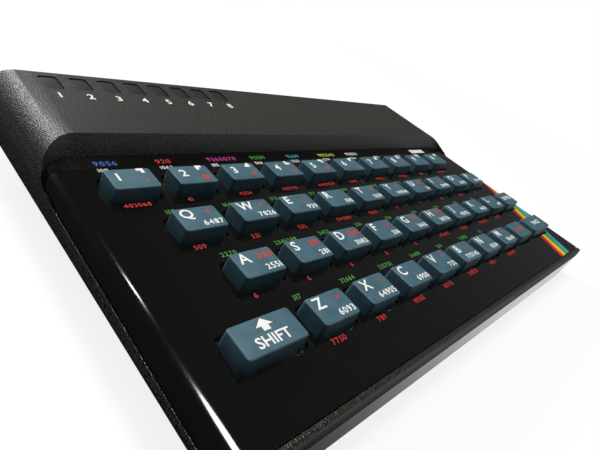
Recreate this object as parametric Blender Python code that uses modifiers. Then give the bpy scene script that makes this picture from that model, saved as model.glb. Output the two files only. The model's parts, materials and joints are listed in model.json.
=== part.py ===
"""Home computer with a rubber keyboard: one object for each piece, in metres, +Z up.

The origin is the middle of the footprint, on the surface that the feet stand on. +X runs
to the right of the keyboard and +Y to its rear. The keyboard deck slopes up to the rear,
so all that belongs to it hangs from the empty named deck: its XY plane is the top of the
faceplate, its origin is at the top of the front wall, and +Y runs up the slope.
"""

import math

import bmesh
import bpy
from mathutils import Matrix, Vector

# Case shells. Its width and depth follow from the keyboard and these margins.
LEFT_MARGIN = 0.0213
RIGHT_MARGIN = 0.0198
REAR_SECTION_DEPTH = 0.0446
RIM_HEIGHT = 0.0040
DECK_TILT_DEGREES = 2.5
SIDE_RADIUS = 0.0067
REAR_RISE = 0.0063
SILL_SLOPE_DEGREES = 68
ARM_TAPER = 0.007
PARTING_HEIGHT = 0.0134
PARTING_GAP = 0.0003
WALL = 0.002
FLOOR_THICKNESS = 0.0018
UNDERSIDE_HEIGHT = 0.002
UNDERSIDE_BEVEL = 0.0012
SIDE_TUCK = 0.010
CASE_CORNER_RADIUS = 0.003
UNDERSIDE_CORNER_RADIUS = 0.012
RIM_RADIUS = 0.0012
REAR_EDGE_RADIUS = 0.004

# Faceplate
PLATE_THICKNESS = 0.001
PLATE_REAR_MARGIN = 0.0175
PLATE_FRONT_RIM = 0.0022
PLATE_SIDE_RIM = 0.0012
PLATE_EDGE_GAP = 0.0008
PLATE_REAR_CORNER_RADIUS = 0.011
PLATE_FRONT_CORNER_RADIUS = 0.002
PLATE_CLEARANCE = 0.0003
SEAT_GAP = 0.0003

# Keys
KEY_PITCH = 0.0196
ROW_PITCH = 0.0199
FRONT_ROW_Y = 0.0222
SECOND_ROW_SHIFT = 0.0100
THIRD_ROW_SHIFT = 0.0155
FRONT_ROW_SHIFT = 0.0057
KEY_GAP = 0.0061
ROW_GAP = 0.0108
SHIFT_EXTRA_WIDTH = 0.0046
SPACE_EXTRA_WIDTH = 0.0076
KEY_HEIGHT = 0.0041
KEY_FLARE = 0.0009
KEY_CORNER_RADIUS = 0.0014
KEY_EDGE_RADIUS = 0.0007
KEY_TRAVEL = 0.0015
KEY_HOLE_GAP = 0.0005
KEY_HOLE_RADIUS = 0.0017
KEY_FLANGE_WIDTH = 0.0006
KEY_FLANGE_THICKNESS = 0.001

# Mat, membrane and the tray they lie in
MAT_CLEARANCE = 0.0003
MAT_RIM = 0.0013
MEMBRANE_THICKNESS = 0.0004
TRAY_FLOOR = 0.0015
RIBBON_WIDTH = 0.020
RIBBON_THICKNESS = 0.0003
RIBBON_BEND_RADIUS = 0.0008
RIBBON_INSET = 0.0022
RIBBON_SLOT_CLEARANCE = 0.001

# Row of plain grooves in the top of the rear section, at its left
GROOVE_COUNT = 8
GROOVE_PITCH = 0.0095
GROOVE_WIDTH = 0.0060
GROOVE_LENGTH = 0.0090
GROOVE_DEPTH = 0.0006
GROOVE_RADIUS = 0.0012
GROOVE_LEFT_INSET = 0.0170
GROOVE_REAR_INSET = 0.0102

# Main board
BOARD_SIDE_GAP = 0.0035
BOARD_FRONT_MARGIN = 0.0075
BOARD_THICKNESS = 0.0016
BOARD_HEIGHT = 0.007
BOARD_REAR_MARGIN = 0.0055
BOARD_CORNER_RADIUS = 0.002
BOARD_POST_DIAMETER = 0.006
BOARD_POST_INSET = 0.005
SOLDER_OVERLAP = 0.0002
PROCESSOR_SIZE = 0.014
PROCESSOR_HEIGHT = 0.0015
CHIP_WIDTH = 0.011
CHIP_DEPTH = 0.008
CHIP_HEIGHT = 0.0012
COIL_SIZE = 0.005
COIL_HEIGHT = 0.003
CONNECTOR_WIDTH = 0.022
CONNECTOR_DEPTH = 0.004
CONNECTOR_HEIGHT = 0.002
SWITCH_WIDTH = 0.006
SWITCH_DEPTH = 0.0035
SWITCH_HEIGHT = 0.0035
PROCESSOR_PLACE_SHARE = 0.62
CHIP_PLACE_SHARES = ((0.52, 0.58), (0.40, 0.42), (0.72, 0.40), (0.30, 0.45))
COIL_PLACE_SHARES = ((0.82, 0.62), (0.88, 0.62), (0.82, 0.45), (0.20, 0.60))

# Heat sink
SINK_SIZE = 0.020
SINK_BASE = 0.0018
SINK_HEIGHT = 0.007
SINK_FIN_THICKNESS = 0.001
SINK_FIN_COUNT = 7
SINK_REAR_GAP = 0.008

# Sockets in the rear wall, and their places as shares of half the board's width
SOCKET_SETBACK = 0.0003
SOCKET_CLEARANCE = 0.0004
USB_WIDTH = 0.0132
USB_HEIGHT = 0.0060
USB_DEPTH = 0.0140
USB_SHELL = 0.00035
USB_MOUTH_DEPTH = 0.0095
USB_TONGUE_WIDTH = 0.0111
USB_TONGUE_THICKNESS = 0.0018
USB_TONGUE_RISE = 0.0007
USB_TONGUE_SETBACK = 0.0008
USB_PLACE_SHARES = (0.245, 0.0, -0.245, -0.49)
HDMI_PLACE_SHARE = 0.52
HDMI_WIDTH = 0.0150
HDMI_HEIGHT = 0.0056
HDMI_DEPTH = 0.0115
HDMI_SHELL = 0.0005
HDMI_CHAMFER = 0.0016
HDMI_MOUTH_DEPTH = 0.0085
HDMI_TONGUE_WIDTH = 0.0112
HDMI_TONGUE_THICKNESS = 0.0011
POWER_SOCKET_PLACE_SHARE = 0.735
POWER_SOCKET_WIDTH = 0.0091
POWER_SOCKET_HEIGHT = 0.0033
POWER_SOCKET_DEPTH = 0.0080
POWER_SOCKET_SHELL = 0.0004
POWER_SOCKET_MOUTH_DEPTH = 0.0062
POWER_TONGUE_WIDTH = 0.0066
POWER_TONGUE_THICKNESS = 0.0007

# Buttons in the rear wall, placed like the sockets
POWER_BUTTON_PLACE_SHARE = 0.91
MENU_BUTTON_PLACE_SHARE = -0.8
BUTTON_HEIGHT = 0.0102
BUTTON_DIAMETER = 0.005
BUTTON_SETBACK = 0.0002
BUTTON_CLEARANCE = 0.0003
BUTTON_FLANGE_WIDTH = 0.0009
BUTTON_FLANGE_THICKNESS = 0.0008
BUTTON_STEM_DIAMETER = 0.0024
BUTTON_TRAVEL = 0.0008
BUTTON_EDGE_RADIUS = 0.0004

# Feet and screw bosses
FOOT_DIAMETER = 0.012
FOOT_SEAT_DEPTH = 0.0006
FOOT_CLEARANCE = 0.0003
FOOT_EDGE_RADIUS = 0.0005
FOOT_SIDE_INSET = 0.024
FOOT_FRONT_INSET = 0.014
BOSS_SIDE_INSET = 0.0185
BOSS_FRONT_INSET = 0.0064
BOSS_REAR_INSET = 0.0075
BOSS_SPLIT_HEIGHT = 0.0064
LOWER_BOSS_DIAMETER = 0.0090
UPPER_BOSS_DIAMETER = 0.0070
SCREW_HOLE_DIAMETER = 0.0034
SCREW_HEAD_DIAMETER = 0.0064
SCREW_HEAD_DEPTH = 0.0030
SCREW_PILOT_DIAMETER = 0.0024
SCREW_PILOT_DEPTH = 0.0060

# Cuts run past the faces they open by this much, and points this close are one
OVERRUN = 0.004
WELD_DISTANCE = 0.000001

# Edges that turn by less than this are shaded smooth
SMOOTH_ANGLE_DEGREES = 32

# Points along a rounded corner, and around a round piece
ARC_STEPS = 6
FINE_ARC_STEPS = 9
HOLE_STEPS = 2
ROUND_SIDES = 24

KEY_ROWS = (
    ("1", "2", "3", "4", "5", "6", "7", "8", "9", "0"),
    ("q", "w", "e", "r", "t", "y", "u", "i", "o", "p"),
    ("a", "s", "d", "f", "g", "h", "j", "k", "l", "enter"),
    ("left_shift", "z", "x", "c", "v", "b", "n", "m", "symbol_shift", "space"),
)

KEY_TOP_WIDTH = KEY_PITCH - KEY_GAP
KEY_TOP_DEPTH = ROW_PITCH - ROW_GAP
SHIFT_TOP_WIDTH = KEY_TOP_WIDTH + SHIFT_EXTRA_WIDTH
SPACE_TOP_WIDTH = KEY_TOP_WIDTH + SPACE_EXTRA_WIDTH
PLATE_EDGE_DROP = RIM_HEIGHT - PLATE_EDGE_GAP
PLATE_REAR = FRONT_ROW_Y + (len(KEY_ROWS) - 1) * ROW_PITCH + PLATE_REAR_MARGIN
ROW_WIDTH = (len(KEY_ROWS[0]) - 1) * KEY_PITCH
CASE_WIDTH = LEFT_MARGIN + ROW_WIDTH + THIRD_ROW_SHIFT + RIGHT_MARGIN
CASE_DEPTH = PLATE_REAR + REAR_SECTION_DEPTH
DECK_FRONT_HEIGHT = PARTING_HEIGHT + RIM_HEIGHT
TILT = math.radians(DECK_TILT_DEGREES)
SILL_RUN = 1 / math.tan(math.radians(SILL_SLOPE_DEGREES))
HALF_WIDTH = CASE_WIDTH / 2
HALF_DEPTH = CASE_DEPTH / 2
FIRST_KEY_X = LEFT_MARGIN - HALF_WIDTH
PLATE_HALF_WIDTH = HALF_WIDTH - PLATE_SIDE_RIM
BOSS_X = HALF_WIDTH - BOSS_SIDE_INSET
BOARD_HALF_WIDTH = BOSS_X - LOWER_BOSS_DIAMETER / 2 - BOARD_SIDE_GAP
POWER_BUTTON_X = POWER_BUTTON_PLACE_SHARE * BOARD_HALF_WIDTH
MENU_BUTTON_X = MENU_BUTTON_PLACE_SHARE * BOARD_HALF_WIDTH
DECK_LENGTH = CASE_DEPTH / math.cos(TILT)
CASE_TOP = DECK_FRONT_HEIGHT + DECK_LENGTH * math.sin(TILT) + REAR_RISE

# Levels under the deck, counted from the top of the faceplate
MAT_TOP = -(PLATE_THICKNESS + SEAT_GAP)
MAT_BOTTOM = MAT_TOP - KEY_FLANGE_THICKNESS - KEY_TRAVEL
MEMBRANE_TOP = MAT_BOTTOM - SEAT_GAP
MEMBRANE_BOTTOM = MEMBRANE_TOP - MEMBRANE_THICKNESS
TRAY_TOP = MEMBRANE_BOTTOM - SEAT_GAP
TRAY_BOTTOM = TRAY_TOP - TRAY_FLOOR

ALONG_X = Matrix(((0, 0, 1, 0), (1, 0, 0, 0), (0, 1, 0, 0), (0, 0, 0, 1)))
ALONG_Y = Matrix.Rotation(math.pi / 2, 4, "X")


def deck_height(distance, level):
    """World height of a point of the deck, by its distance up the slope and its level."""
    return DECK_FRONT_HEIGHT + distance * math.sin(TILT) + level * math.cos(TILT)


def deck_depth(distance, level):
    """World Y of the same point."""
    return -HALF_DEPTH + distance * math.cos(TILT) - level * math.sin(TILT)


# Outlines


def arc(centre, start, end, steps):
    """Points from start to end about centre, the short way round."""
    first = math.atan2(start.y - centre.y, start.x - centre.x)
    last = math.atan2(end.y - centre.y, end.x - centre.x)
    turn = (last - first + math.pi) % (2 * math.pi) - math.pi
    radius = (start - centre).length
    angles = [first + turn * i / steps for i in range(steps + 1)]
    return [centre + radius * Vector((math.cos(a), math.sin(a))) for a in angles]


def corner_arc(corner, before, after, radius, steps):
    """The arc that rounds a corner, and its centre. before and after point along its two sides."""
    half = before.angle(after) / 2
    reach = radius / math.tan(half)
    centre = corner + (before + after).normalized() * radius / math.sin(half)
    return arc(centre, corner + before * reach, corner + after * reach, steps), centre


def rounded(corners, steps=ARC_STEPS):
    """A closed outline through corners given as (x, y, radius)."""
    points = []
    for i, (x, y, radius) in enumerate(corners):
        corner = Vector((x, y))
        if radius <= 0:
            points.append(corner)
            continue
        before = (Vector(corners[i - 1][:2]) - corner).normalized()
        after = (Vector(corners[(i + 1) % len(corners)][:2]) - corner).normalized()
        points += corner_arc(corner, before, after, radius, steps)[0]
    return points


def rectangle(low, high, radius=0, steps=ARC_STEPS):
    """A rectangle between two corners, with its corners rounded."""
    corners = ((low[0], low[1]), (high[0], low[1]), (high[0], high[1]), (low[0], high[1]))
    return rounded([(x, y, radius) for x, y in corners], steps)


def corner_waste(corner, before, after, radius, steps=ARC_STEPS):
    """What is cut away to round a sharp corner: the space outside its arc."""
    corner = Vector(corner)
    points, centre = corner_arc(corner, Vector(before), Vector(after), radius, steps)
    outside = [p + (p - centre).normalized() * OVERRUN for p in (points[-1], corner, points[0])]
    return points + outside


def case_section(inset, rise):
    """The case across its width: flat on top and rounded to both sides, drawn in by inset."""
    half = HALF_WIDTH - inset
    top = rise - inset
    radius = SIDE_RADIUS + rise - inset
    low = -SIDE_RADIUS - CASE_TOP
    return rounded(
        [(-half, low, 0), (half, low, 0), (half, top, radius), (-half, top, radius)],
        FINE_ARC_STEPS,
    )


def plate_outline(grow):
    """The faceplate seen from above, made larger all round by grow."""
    half = PLATE_HALF_WIDTH + grow
    front = PLATE_FRONT_RIM - grow
    rear = PLATE_REAR + grow
    front_radius = PLATE_FRONT_CORNER_RADIUS + grow
    rear_radius = PLATE_REAR_CORNER_RADIUS + grow
    return rounded(
        [
            (-half, front, front_radius),
            (half, front, front_radius),
            (half, rear, rear_radius),
            (-half, rear, rear_radius),
        ],
        FINE_ARC_STEPS,
    )


# Objects


def add_object(name, mesh, collection, parent=None, location=(0, 0, 0)):
    new = bpy.data.objects.new(name, mesh)
    collection.objects.link(new)
    new.parent = parent
    new.location = location
    if collection is cutters:
        new.hide_render = True
        new.display_type = "WIRE"
    return new


def smooth(mesh):
    mesh.shade_smooth()
    mesh.set_sharp_from_angle(angle=math.radians(SMOOTH_ANGLE_DEGREES))


def flat_mesh(name, loops, low, high, turn=None):
    """A flat outline made solid from low to high. Loops inside another loop are holes."""
    curve = bpy.data.curves.new(name, "CURVE")
    curve.dimensions = "2D"
    curve.fill_mode = "BOTH"
    curve.extrude = (high - low) / 2
    for loop in loops:
        spline = curve.splines.new("POLY")
        spline.points.add(len(loop) - 1)
        spline.use_cyclic_u = True
        for point, (x, y) in zip(spline.points, loop):
            point.co = (x, y, 0, 1)
    outline = bpy.data.objects.new(name + "_outline", curve)
    bpy.context.scene.collection.objects.link(outline)
    graph = bpy.context.evaluated_depsgraph_get()
    mesh = bpy.data.meshes.new_from_object(outline.evaluated_get(graph))
    bpy.data.objects.remove(outline)
    bpy.data.curves.remove(curve)
    form = bmesh.new()
    form.from_mesh(mesh)
    bmesh.ops.remove_doubles(form, verts=form.verts, dist=WELD_DISTANCE)
    bmesh.ops.translate(form, verts=form.verts, vec=(0, 0, (low + high) / 2))
    bmesh.ops.recalc_face_normals(form, faces=form.faces)
    form.to_mesh(mesh)
    form.free()
    mesh.name = name
    if turn is not None:
        mesh.transform(turn)
    smooth(mesh)
    return mesh


def across_mesh(name, loops, start, end):
    """A section in X and Z carried along Y from start to end."""
    return flat_mesh(name, loops, -end, -start, ALONG_Y)


def side_mesh(name, loops, left, right):
    """A profile in Y and Z carried along X from left to right."""
    return flat_mesh(name, loops, left, right, ALONG_X)


def boxes_mesh(name, corners):
    """Boxes, each given by its lowest and its highest corner."""
    form = bmesh.new()
    for low, high in corners:
        low = Vector(low)
        high = Vector(high)
        place = Matrix.Translation((low + high) / 2) @ Matrix.Diagonal((*(high - low), 1))
        bmesh.ops.create_cube(form, size=1, matrix=place)
    mesh = bpy.data.meshes.new(name)
    form.to_mesh(mesh)
    form.free()
    return mesh


def rods_mesh(name, rods, turn=None):
    """Upright round rods, each given by its centre x, y, its diameter, its foot and its top."""
    form = bmesh.new()
    for x, y, diameter, low, high in rods:
        bmesh.ops.create_cone(
            form,
            cap_ends=True,
            segments=ROUND_SIDES,
            radius1=diameter / 2,
            radius2=diameter / 2,
            depth=high - low,
            matrix=Matrix.Translation((x, y, (low + high) / 2)),
        )
    mesh = bpy.data.meshes.new(name)
    form.to_mesh(mesh)
    form.free()
    if turn is not None:
        mesh.transform(turn)
    smooth(mesh)
    return mesh


def loft_mesh(name, rings):
    """A solid between flat rings of equally many points, each ring given as (outline, height)."""
    form = bmesh.new()
    rows = [[form.verts.new((x, y, height)) for x, y in outline] for outline, height in rings]
    for lower, upper in zip(rows, rows[1:]):
        for i in range(len(lower)):
            form.faces.new((lower[i - 1], lower[i], upper[i], upper[i - 1]))
    form.faces.new(reversed(rows[0]))
    form.faces.new(rows[-1])
    bmesh.ops.recalc_face_normals(form, faces=form.faces)
    mesh = bpy.data.meshes.new(name)
    form.to_mesh(mesh)
    form.free()
    smooth(mesh)
    return mesh


def combine(target, operation, other, solver="EXACT"):
    modifier = target.modifiers.new(other.name, "BOOLEAN")
    modifier.operation = operation
    modifier.object = other
    modifier.solver = solver
    return target


def cut(target, other):
    return combine(target, "DIFFERENCE", other)


def join(target, other):
    return combine(target, "UNION", other)


def keep(target, other):
    return combine(target, "INTERSECT", other)


def paint(target, name, color, roughness, metallic=0.0):
    """Gives a piece its own material."""
    material = bpy.data.materials.new(name)
    material.use_nodes = True
    surface = material.node_tree.nodes["Principled BSDF"]
    surface.inputs["Base Color"].default_value = (*color, 1)
    surface.inputs["Roughness"].default_value = roughness
    surface.inputs["Metallic"].default_value = metallic
    material.diffuse_color = (*color, 1)
    target.data.materials.clear()
    target.data.materials.append(material)


# Keys


def key_places():
    """Each key as (name, centre x, distance up the deck, width of its top)."""
    shifts = (0, SECOND_ROW_SHIFT, THIRD_ROW_SHIFT, FRONT_ROW_SHIFT)
    rows_behind = len(KEY_ROWS) - 1
    places = []
    for row, (names, shift) in enumerate(zip(KEY_ROWS, shifts)):
        y = FRONT_ROW_Y + (rows_behind - row) * ROW_PITCH
        for column, name in enumerate(names):
            x = FIRST_KEY_X + shift + column * KEY_PITCH
            width = KEY_TOP_WIDTH
            if name == "left_shift":
                width = SHIFT_TOP_WIDTH
                x -= (width - KEY_TOP_WIDTH) / 2
            if name == "space":
                width = SPACE_TOP_WIDTH
                x += (width - KEY_TOP_WIDTH) / 2
            places.append((name, x, y, width))
    return places


def key_openings(grow, radius):
    """One outline for each key: its foot made larger all round by grow."""
    outlines = []
    for _, x, y, width in key_places():
        half_width = width / 2 + KEY_FLARE + grow
        half_depth = KEY_TOP_DEPTH / 2 + KEY_FLARE + grow
        low = (x - half_width, y - half_depth)
        high = (x + half_width, y + half_depth)
        outlines.append(rectangle(low, high, radius, HOLE_STEPS))
    return outlines


def key_mesh(name, top_width):
    """A key: a flange that stays under the faceplate, and a body that narrows to its top."""
    foot = Vector((top_width + 2 * KEY_FLARE, KEY_TOP_DEPTH + 2 * KEY_FLARE))
    lip = KEY_HOLE_GAP + KEY_FLANGE_WIDTH
    flange = (foot.x + 2 * lip, foot.y + 2 * lip, KEY_FLANGE_THICKNESS)
    middle = (0, 0, MAT_TOP - KEY_FLANGE_THICKNESS / 2)
    form = bmesh.new()
    bmesh.ops.create_cube(form, size=1, matrix=Matrix.Translation(middle) @ Matrix.Diagonal((*flange, 1)))
    form.faces.ensure_lookup_table()
    top = max(form.faces, key=lambda face: face.calc_center_median().z)
    bmesh.ops.inset_region(form, faces=[top], thickness=lip, use_even_offset=True)
    raised = bmesh.ops.extrude_discrete_faces(form, faces=[top])["faces"][0]
    for vertex in raised.verts:
        vertex.co.x *= top_width / foot.x
        vertex.co.y *= KEY_TOP_DEPTH / foot.y
        vertex.co.z = KEY_HEIGHT
    uprights = [e for v in raised.verts for e in v.link_edges if e not in raised.edges[:]]
    bmesh.ops.bevel(
        form, geom=uprights, offset=KEY_CORNER_RADIUS, segments=HOLE_STEPS, profile=0.5, affect="EDGES"
    )
    top = max(form.faces, key=lambda face: face.calc_center_median().z)
    bmesh.ops.bevel(
        form, geom=top.edges[:], offset=KEY_EDGE_RADIUS, segments=HOLE_STEPS, profile=0.5, affect="EDGES"
    )
    bmesh.ops.recalc_face_normals(form, faces=form.faces)
    mesh = bpy.data.meshes.new(name)
    form.to_mesh(mesh)
    form.free()
    smooth(mesh)
    return mesh


def make_keys():
    meshes = {}
    for name, x, y, width in key_places():
        if width not in meshes:
            meshes[width] = key_mesh(f"key_{len(meshes)}", width)
        key = add_object("key_" + name, meshes[width], parts, deck, (x, y, 0))
        if not key.data.materials:
            paint(key, "rubber_" + key.data.name, (0.05, 0.11, 0.14), 0.6)


# Keyboard stack


def mat_bounds():
    """The lowest and highest corner of the key mat, seen from above."""
    outlines = key_openings(KEY_HOLE_GAP + KEY_FLANGE_WIDTH + MAT_CLEARANCE, 0)
    xs = [point.x for outline in outlines for point in outline]
    ys = [point.y for outline in outlines for point in outline]
    return (min(xs) - MAT_RIM, min(ys) - MAT_RIM), (max(xs) + MAT_RIM, max(ys) + MAT_RIM)


def ribbon_slot():
    """The slot in the tray floor that the ribbon goes down, as two corners seen from above."""
    low, high = mat_bounds()
    half = RIBBON_WIDTH / 2 + RIBBON_SLOT_CLEARANCE
    return (-half, high[1] - RIBBON_INSET - RIBBON_SLOT_CLEARANCE), (half, high[1] + SEAT_GAP)


def make_faceplate():
    """The glossy plate: flat over the keys, and bent down along both sides."""
    mesh = flat_mesh("faceplate", [plate_outline(0)], -PLATE_EDGE_DROP, OVERRUN)
    plate = add_object("faceplate", mesh, parts, deck)
    outer = across_mesh("plate_top_form", [case_section(0, 0)], -OVERRUN, DECK_LENGTH)
    inner = across_mesh(
        "plate_under_form", [case_section(PLATE_THICKNESS, 0)], -2 * OVERRUN, DECK_LENGTH + OVERRUN
    )
    holes = flat_mesh(
        "plate_key_holes", key_openings(KEY_HOLE_GAP, KEY_HOLE_RADIUS), 2 * MAT_TOP, OVERRUN
    )
    keep(plate, add_object("plate_top_form", outer, cutters, deck))
    cut(plate, add_object("plate_under_form", inner, cutters, deck))
    cut(plate, add_object("plate_key_holes", holes, cutters, deck))
    paint(plate, "gloss_black_plate", (0.008, 0.008, 0.008), 0.15)


def make_key_mat():
    low, high = mat_bounds()
    openings = key_openings(KEY_HOLE_GAP + KEY_FLANGE_WIDTH + MAT_CLEARANCE, 0)
    mesh = flat_mesh("key_mat", [rectangle(low, high)] + openings, MAT_BOTTOM, MAT_TOP)
    mat = add_object("key_mat", mesh, parts, deck)
    paint(mat, "rubber_mat", (0.05, 0.11, 0.14), 0.7)


def make_membrane():
    """The printed contact sheets, notched where the ribbon leaves them."""
    low, high = mat_bounds()
    slot_low, slot_high = ribbon_slot()
    notch = slot_low[1] - SEAT_GAP
    outline = rounded(
        [
            (low[0], low[1], 0),
            (high[0], low[1], 0),
            (high[0], high[1], 0),
            (slot_high[0], high[1], 0),
            (slot_high[0], notch, 0),
            (slot_low[0], notch, 0),
            (slot_low[0], high[1], 0),
            (low[0], high[1], 0),
        ]
    )
    mesh = flat_mesh("keyboard_membrane", [outline], MEMBRANE_BOTTOM, MEMBRANE_TOP)
    membrane = add_object("keyboard_membrane", mesh, parts, deck)
    paint(membrane, "polyester_sheet", (0.6, 0.62, 0.55), 0.35)


def make_ribbon():
    """The flat ribbon: out of the membrane's notch, then down to its connector on the board."""
    slot_low, slot_high = ribbon_slot()
    start = slot_low[1]
    far = slot_low[1] + RIBBON_SLOT_CLEARANCE + RIBBON_THICKNESS
    top = (MEMBRANE_TOP + MEMBRANE_BOTTOM + RIBBON_THICKNESS) / 2
    under = top - RIBBON_THICKNESS
    end = board_top() + CONNECTOR_HEIGHT + SEAT_GAP - deck_height(far, 0)
    near = far - RIBBON_THICKNESS
    inner_radius = RIBBON_BEND_RADIUS - RIBBON_THICKNESS
    outline = rounded(
        [
            (start, under, 0),
            (near, under, inner_radius),
            (near, end, 0),
            (far, end, 0),
            (far, top, RIBBON_BEND_RADIUS),
            (start, top, 0),
        ]
    )
    mesh = side_mesh("keyboard_ribbon", [outline], -RIBBON_WIDTH / 2, RIBBON_WIDTH / 2)
    ribbon = add_object("keyboard_ribbon", mesh, parts, deck)
    paint(ribbon, "ribbon_film", (0.45, 0.2, 0.05), 0.4)


# Case


def case_corners():
    """The four upright corners of the case, with the directions of their two sides."""
    return [
        ((x * HALF_WIDTH, y * HALF_DEPTH), (-x, 0), (0, -y)) for x in (-1, 1) for y in (-1, 1)
    ]


def sill_ring(height):
    """The pocket in front of the raised rear section at one height: it widens as it rises.

    Beside the faceplate the section reaches forward as two arms, which run out to the side
    walls over the length ARM_TAPER.
    """
    grow = PLATE_CLEARANCE + height * SILL_RUN
    half = PLATE_HALF_WIDTH + grow
    rear = PLATE_REAR + grow
    radius = PLATE_REAR_CORNER_RADIUS + grow
    wide = HALF_WIDTH + OVERRUN
    arm = PLATE_REAR - PLATE_REAR_CORNER_RADIUS
    run = ARM_TAPER * (wide - half) / (HALF_WIDTH - PLATE_HALF_WIDTH)
    return rounded(
        [
            (-wide, -OVERRUN, 0),
            (wide, -OVERRUN, 0),
            (wide, arm - run, 0),
            (half, arm, 0),
            (half, rear, radius),
            (-half, rear, radius),
            (-half, arm, 0),
            (-wide, arm - run, 0),
        ],
        FINE_ARC_STEPS,
    )


def make_outer_form():
    """The upper case as one solid: the deck and the raised rear section."""
    rear = DECK_LENGTH + OVERRUN
    deck_form = across_mesh("deck_form", [case_section(0, 0)], -OVERRUN, rear)
    rear_form = across_mesh("rear_form", [case_section(0, REAR_RISE)], OVERRUN, rear - OVERRUN / 2)
    depth = -SIDE_RADIUS - 2 * CASE_TOP
    top = REAR_RISE + OVERRUN
    pocket = loft_mesh(
        "sill_pocket",
        [
            (sill_ring(-SIDE_RADIUS), depth),
            (sill_ring(-SIDE_RADIUS), -SIDE_RADIUS),
            (sill_ring(top), top),
        ],
    )
    form = add_object("deck_form", deck_form, cutters, deck)
    raised = add_object("rear_form", rear_form, cutters, deck)
    cut(raised, add_object("sill_pocket", pocket, cutters, deck))
    # Both forms share the planes of the side walls, which the exact solver joins wrongly
    return combine(form, "UNION", raised, "MANIFOLD")


def make_grooves():
    """The row of shallow grooves, as one cutter."""
    half = Vector((GROOVE_WIDTH, GROOVE_LENGTH)) / 2
    y = CASE_DEPTH - GROOVE_REAR_INSET
    loops = []
    for i in range(GROOVE_COUNT):
        middle = Vector((GROOVE_LEFT_INSET - HALF_WIDTH + i * GROOVE_PITCH, y))
        loops.append(rectangle(middle - half, middle + half, GROOVE_RADIUS, HOLE_STEPS))
    mesh = flat_mesh("grooves", loops, REAR_RISE - GROOVE_DEPTH, REAR_RISE + OVERRUN)
    return add_object("grooves", mesh, cutters, deck)


def edge_cutters():
    """Waste along the front rim and the rear top edge."""
    slope = Vector((math.cos(TILT), math.sin(TILT)))
    left = -HALF_WIDTH - OVERRUN
    front = corner_waste((-HALF_DEPTH, DECK_FRONT_HEIGHT), (0, -1), slope, RIM_RADIUS)
    rear = corner_waste((HALF_DEPTH, CASE_TOP), (0, -1), -slope, REAR_EDGE_RADIUS)
    return [
        add_object("front_edge_waste", side_mesh("front_edge_waste", [front], left, -left), cutters),
        add_object("rear_edge_waste", side_mesh("rear_edge_waste", [rear], left, -left), cutters),
    ]


def make_cavity():
    """The hollow of the upper case, open below: low under the deck, high under the rear section."""
    deck_inset = PLATE_THICKNESS + SEAT_GAP + WALL
    rear_start = PLATE_REAR + REAR_RISE * SILL_RUN + WALL
    low = across_mesh("deck_cavity", [case_section(deck_inset, 0)], -OVERRUN, DECK_LENGTH + OVERRUN)
    high = across_mesh(
        "rear_cavity", [case_section(WALL, REAR_RISE)], rear_start, DECK_LENGTH + 2 * OVERRUN
    )
    cavity = add_object("deck_cavity", low, cutters, deck)
    join(cavity, add_object("rear_cavity", high, cutters, deck))
    half_depth = HALF_DEPTH - WALL
    inside = boxes_mesh(
        "cavity_walls",
        [((-CASE_WIDTH, -half_depth, -CASE_TOP), (CASE_WIDTH, half_depth, 2 * CASE_TOP))],
    )
    keep(cavity, add_object("cavity_walls", inside, cutters))
    return cavity


def make_tray():
    """The tray for the mat and the membrane: its block, and the pocket cut from it."""
    low, high = mat_bounds()
    edge = SEAT_GAP + WALL
    block = boxes_mesh(
        "tray_block",
        [
            (
                (low[0] - edge, low[1] - edge, TRAY_BOTTOM),
                (high[0] + edge, high[1] + edge, MAT_TOP - WALL / 2),
            )
        ],
    )
    pocket = boxes_mesh(
        "tray_pocket",
        [
            (
                (low[0] - SEAT_GAP, low[1] - SEAT_GAP, TRAY_TOP),
                (high[0] + SEAT_GAP, high[1] + SEAT_GAP, OVERRUN),
            )
        ],
    )
    slot_low, slot_high = ribbon_slot()
    slot = boxes_mesh(
        "ribbon_slot", [((*slot_low, TRAY_BOTTOM - OVERRUN), (*slot_high, MEMBRANE_TOP))]
    )
    return [add_object(mesh.name, mesh, cutters, deck) for mesh in (block, pocket, slot)]


def make_plate_recess():
    """The step that the faceplate lies in, bent down at the sides as the plate is."""
    recess = flat_mesh(
        "plate_recess", [plate_outline(PLATE_CLEARANCE)], -PLATE_EDGE_DROP - SEAT_GAP, OVERRUN
    )
    bed = across_mesh(
        "plate_bed", [case_section(PLATE_THICKNESS + SEAT_GAP, 0)], -OVERRUN, DECK_LENGTH + OVERRUN
    )
    return cut(
        add_object("plate_recess", recess, cutters, deck), add_object("plate_bed", bed, cutters, deck)
    )


def boss_places():
    """Each screw boss as (x, y, the height that the upper one reaches)."""
    front = BOSS_FRONT_INSET
    rear = CASE_DEPTH - BOSS_REAR_INSET
    front_top = deck_height(front, MAT_TOP - WALL / 2)
    rear_top = deck_height(rear, REAR_RISE - WALL / 2)
    return [
        (x, -HALF_DEPTH + y, top)
        for x in (-BOSS_X, BOSS_X)
        for y, top in ((front, front_top), (rear, rear_top))
    ]


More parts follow.
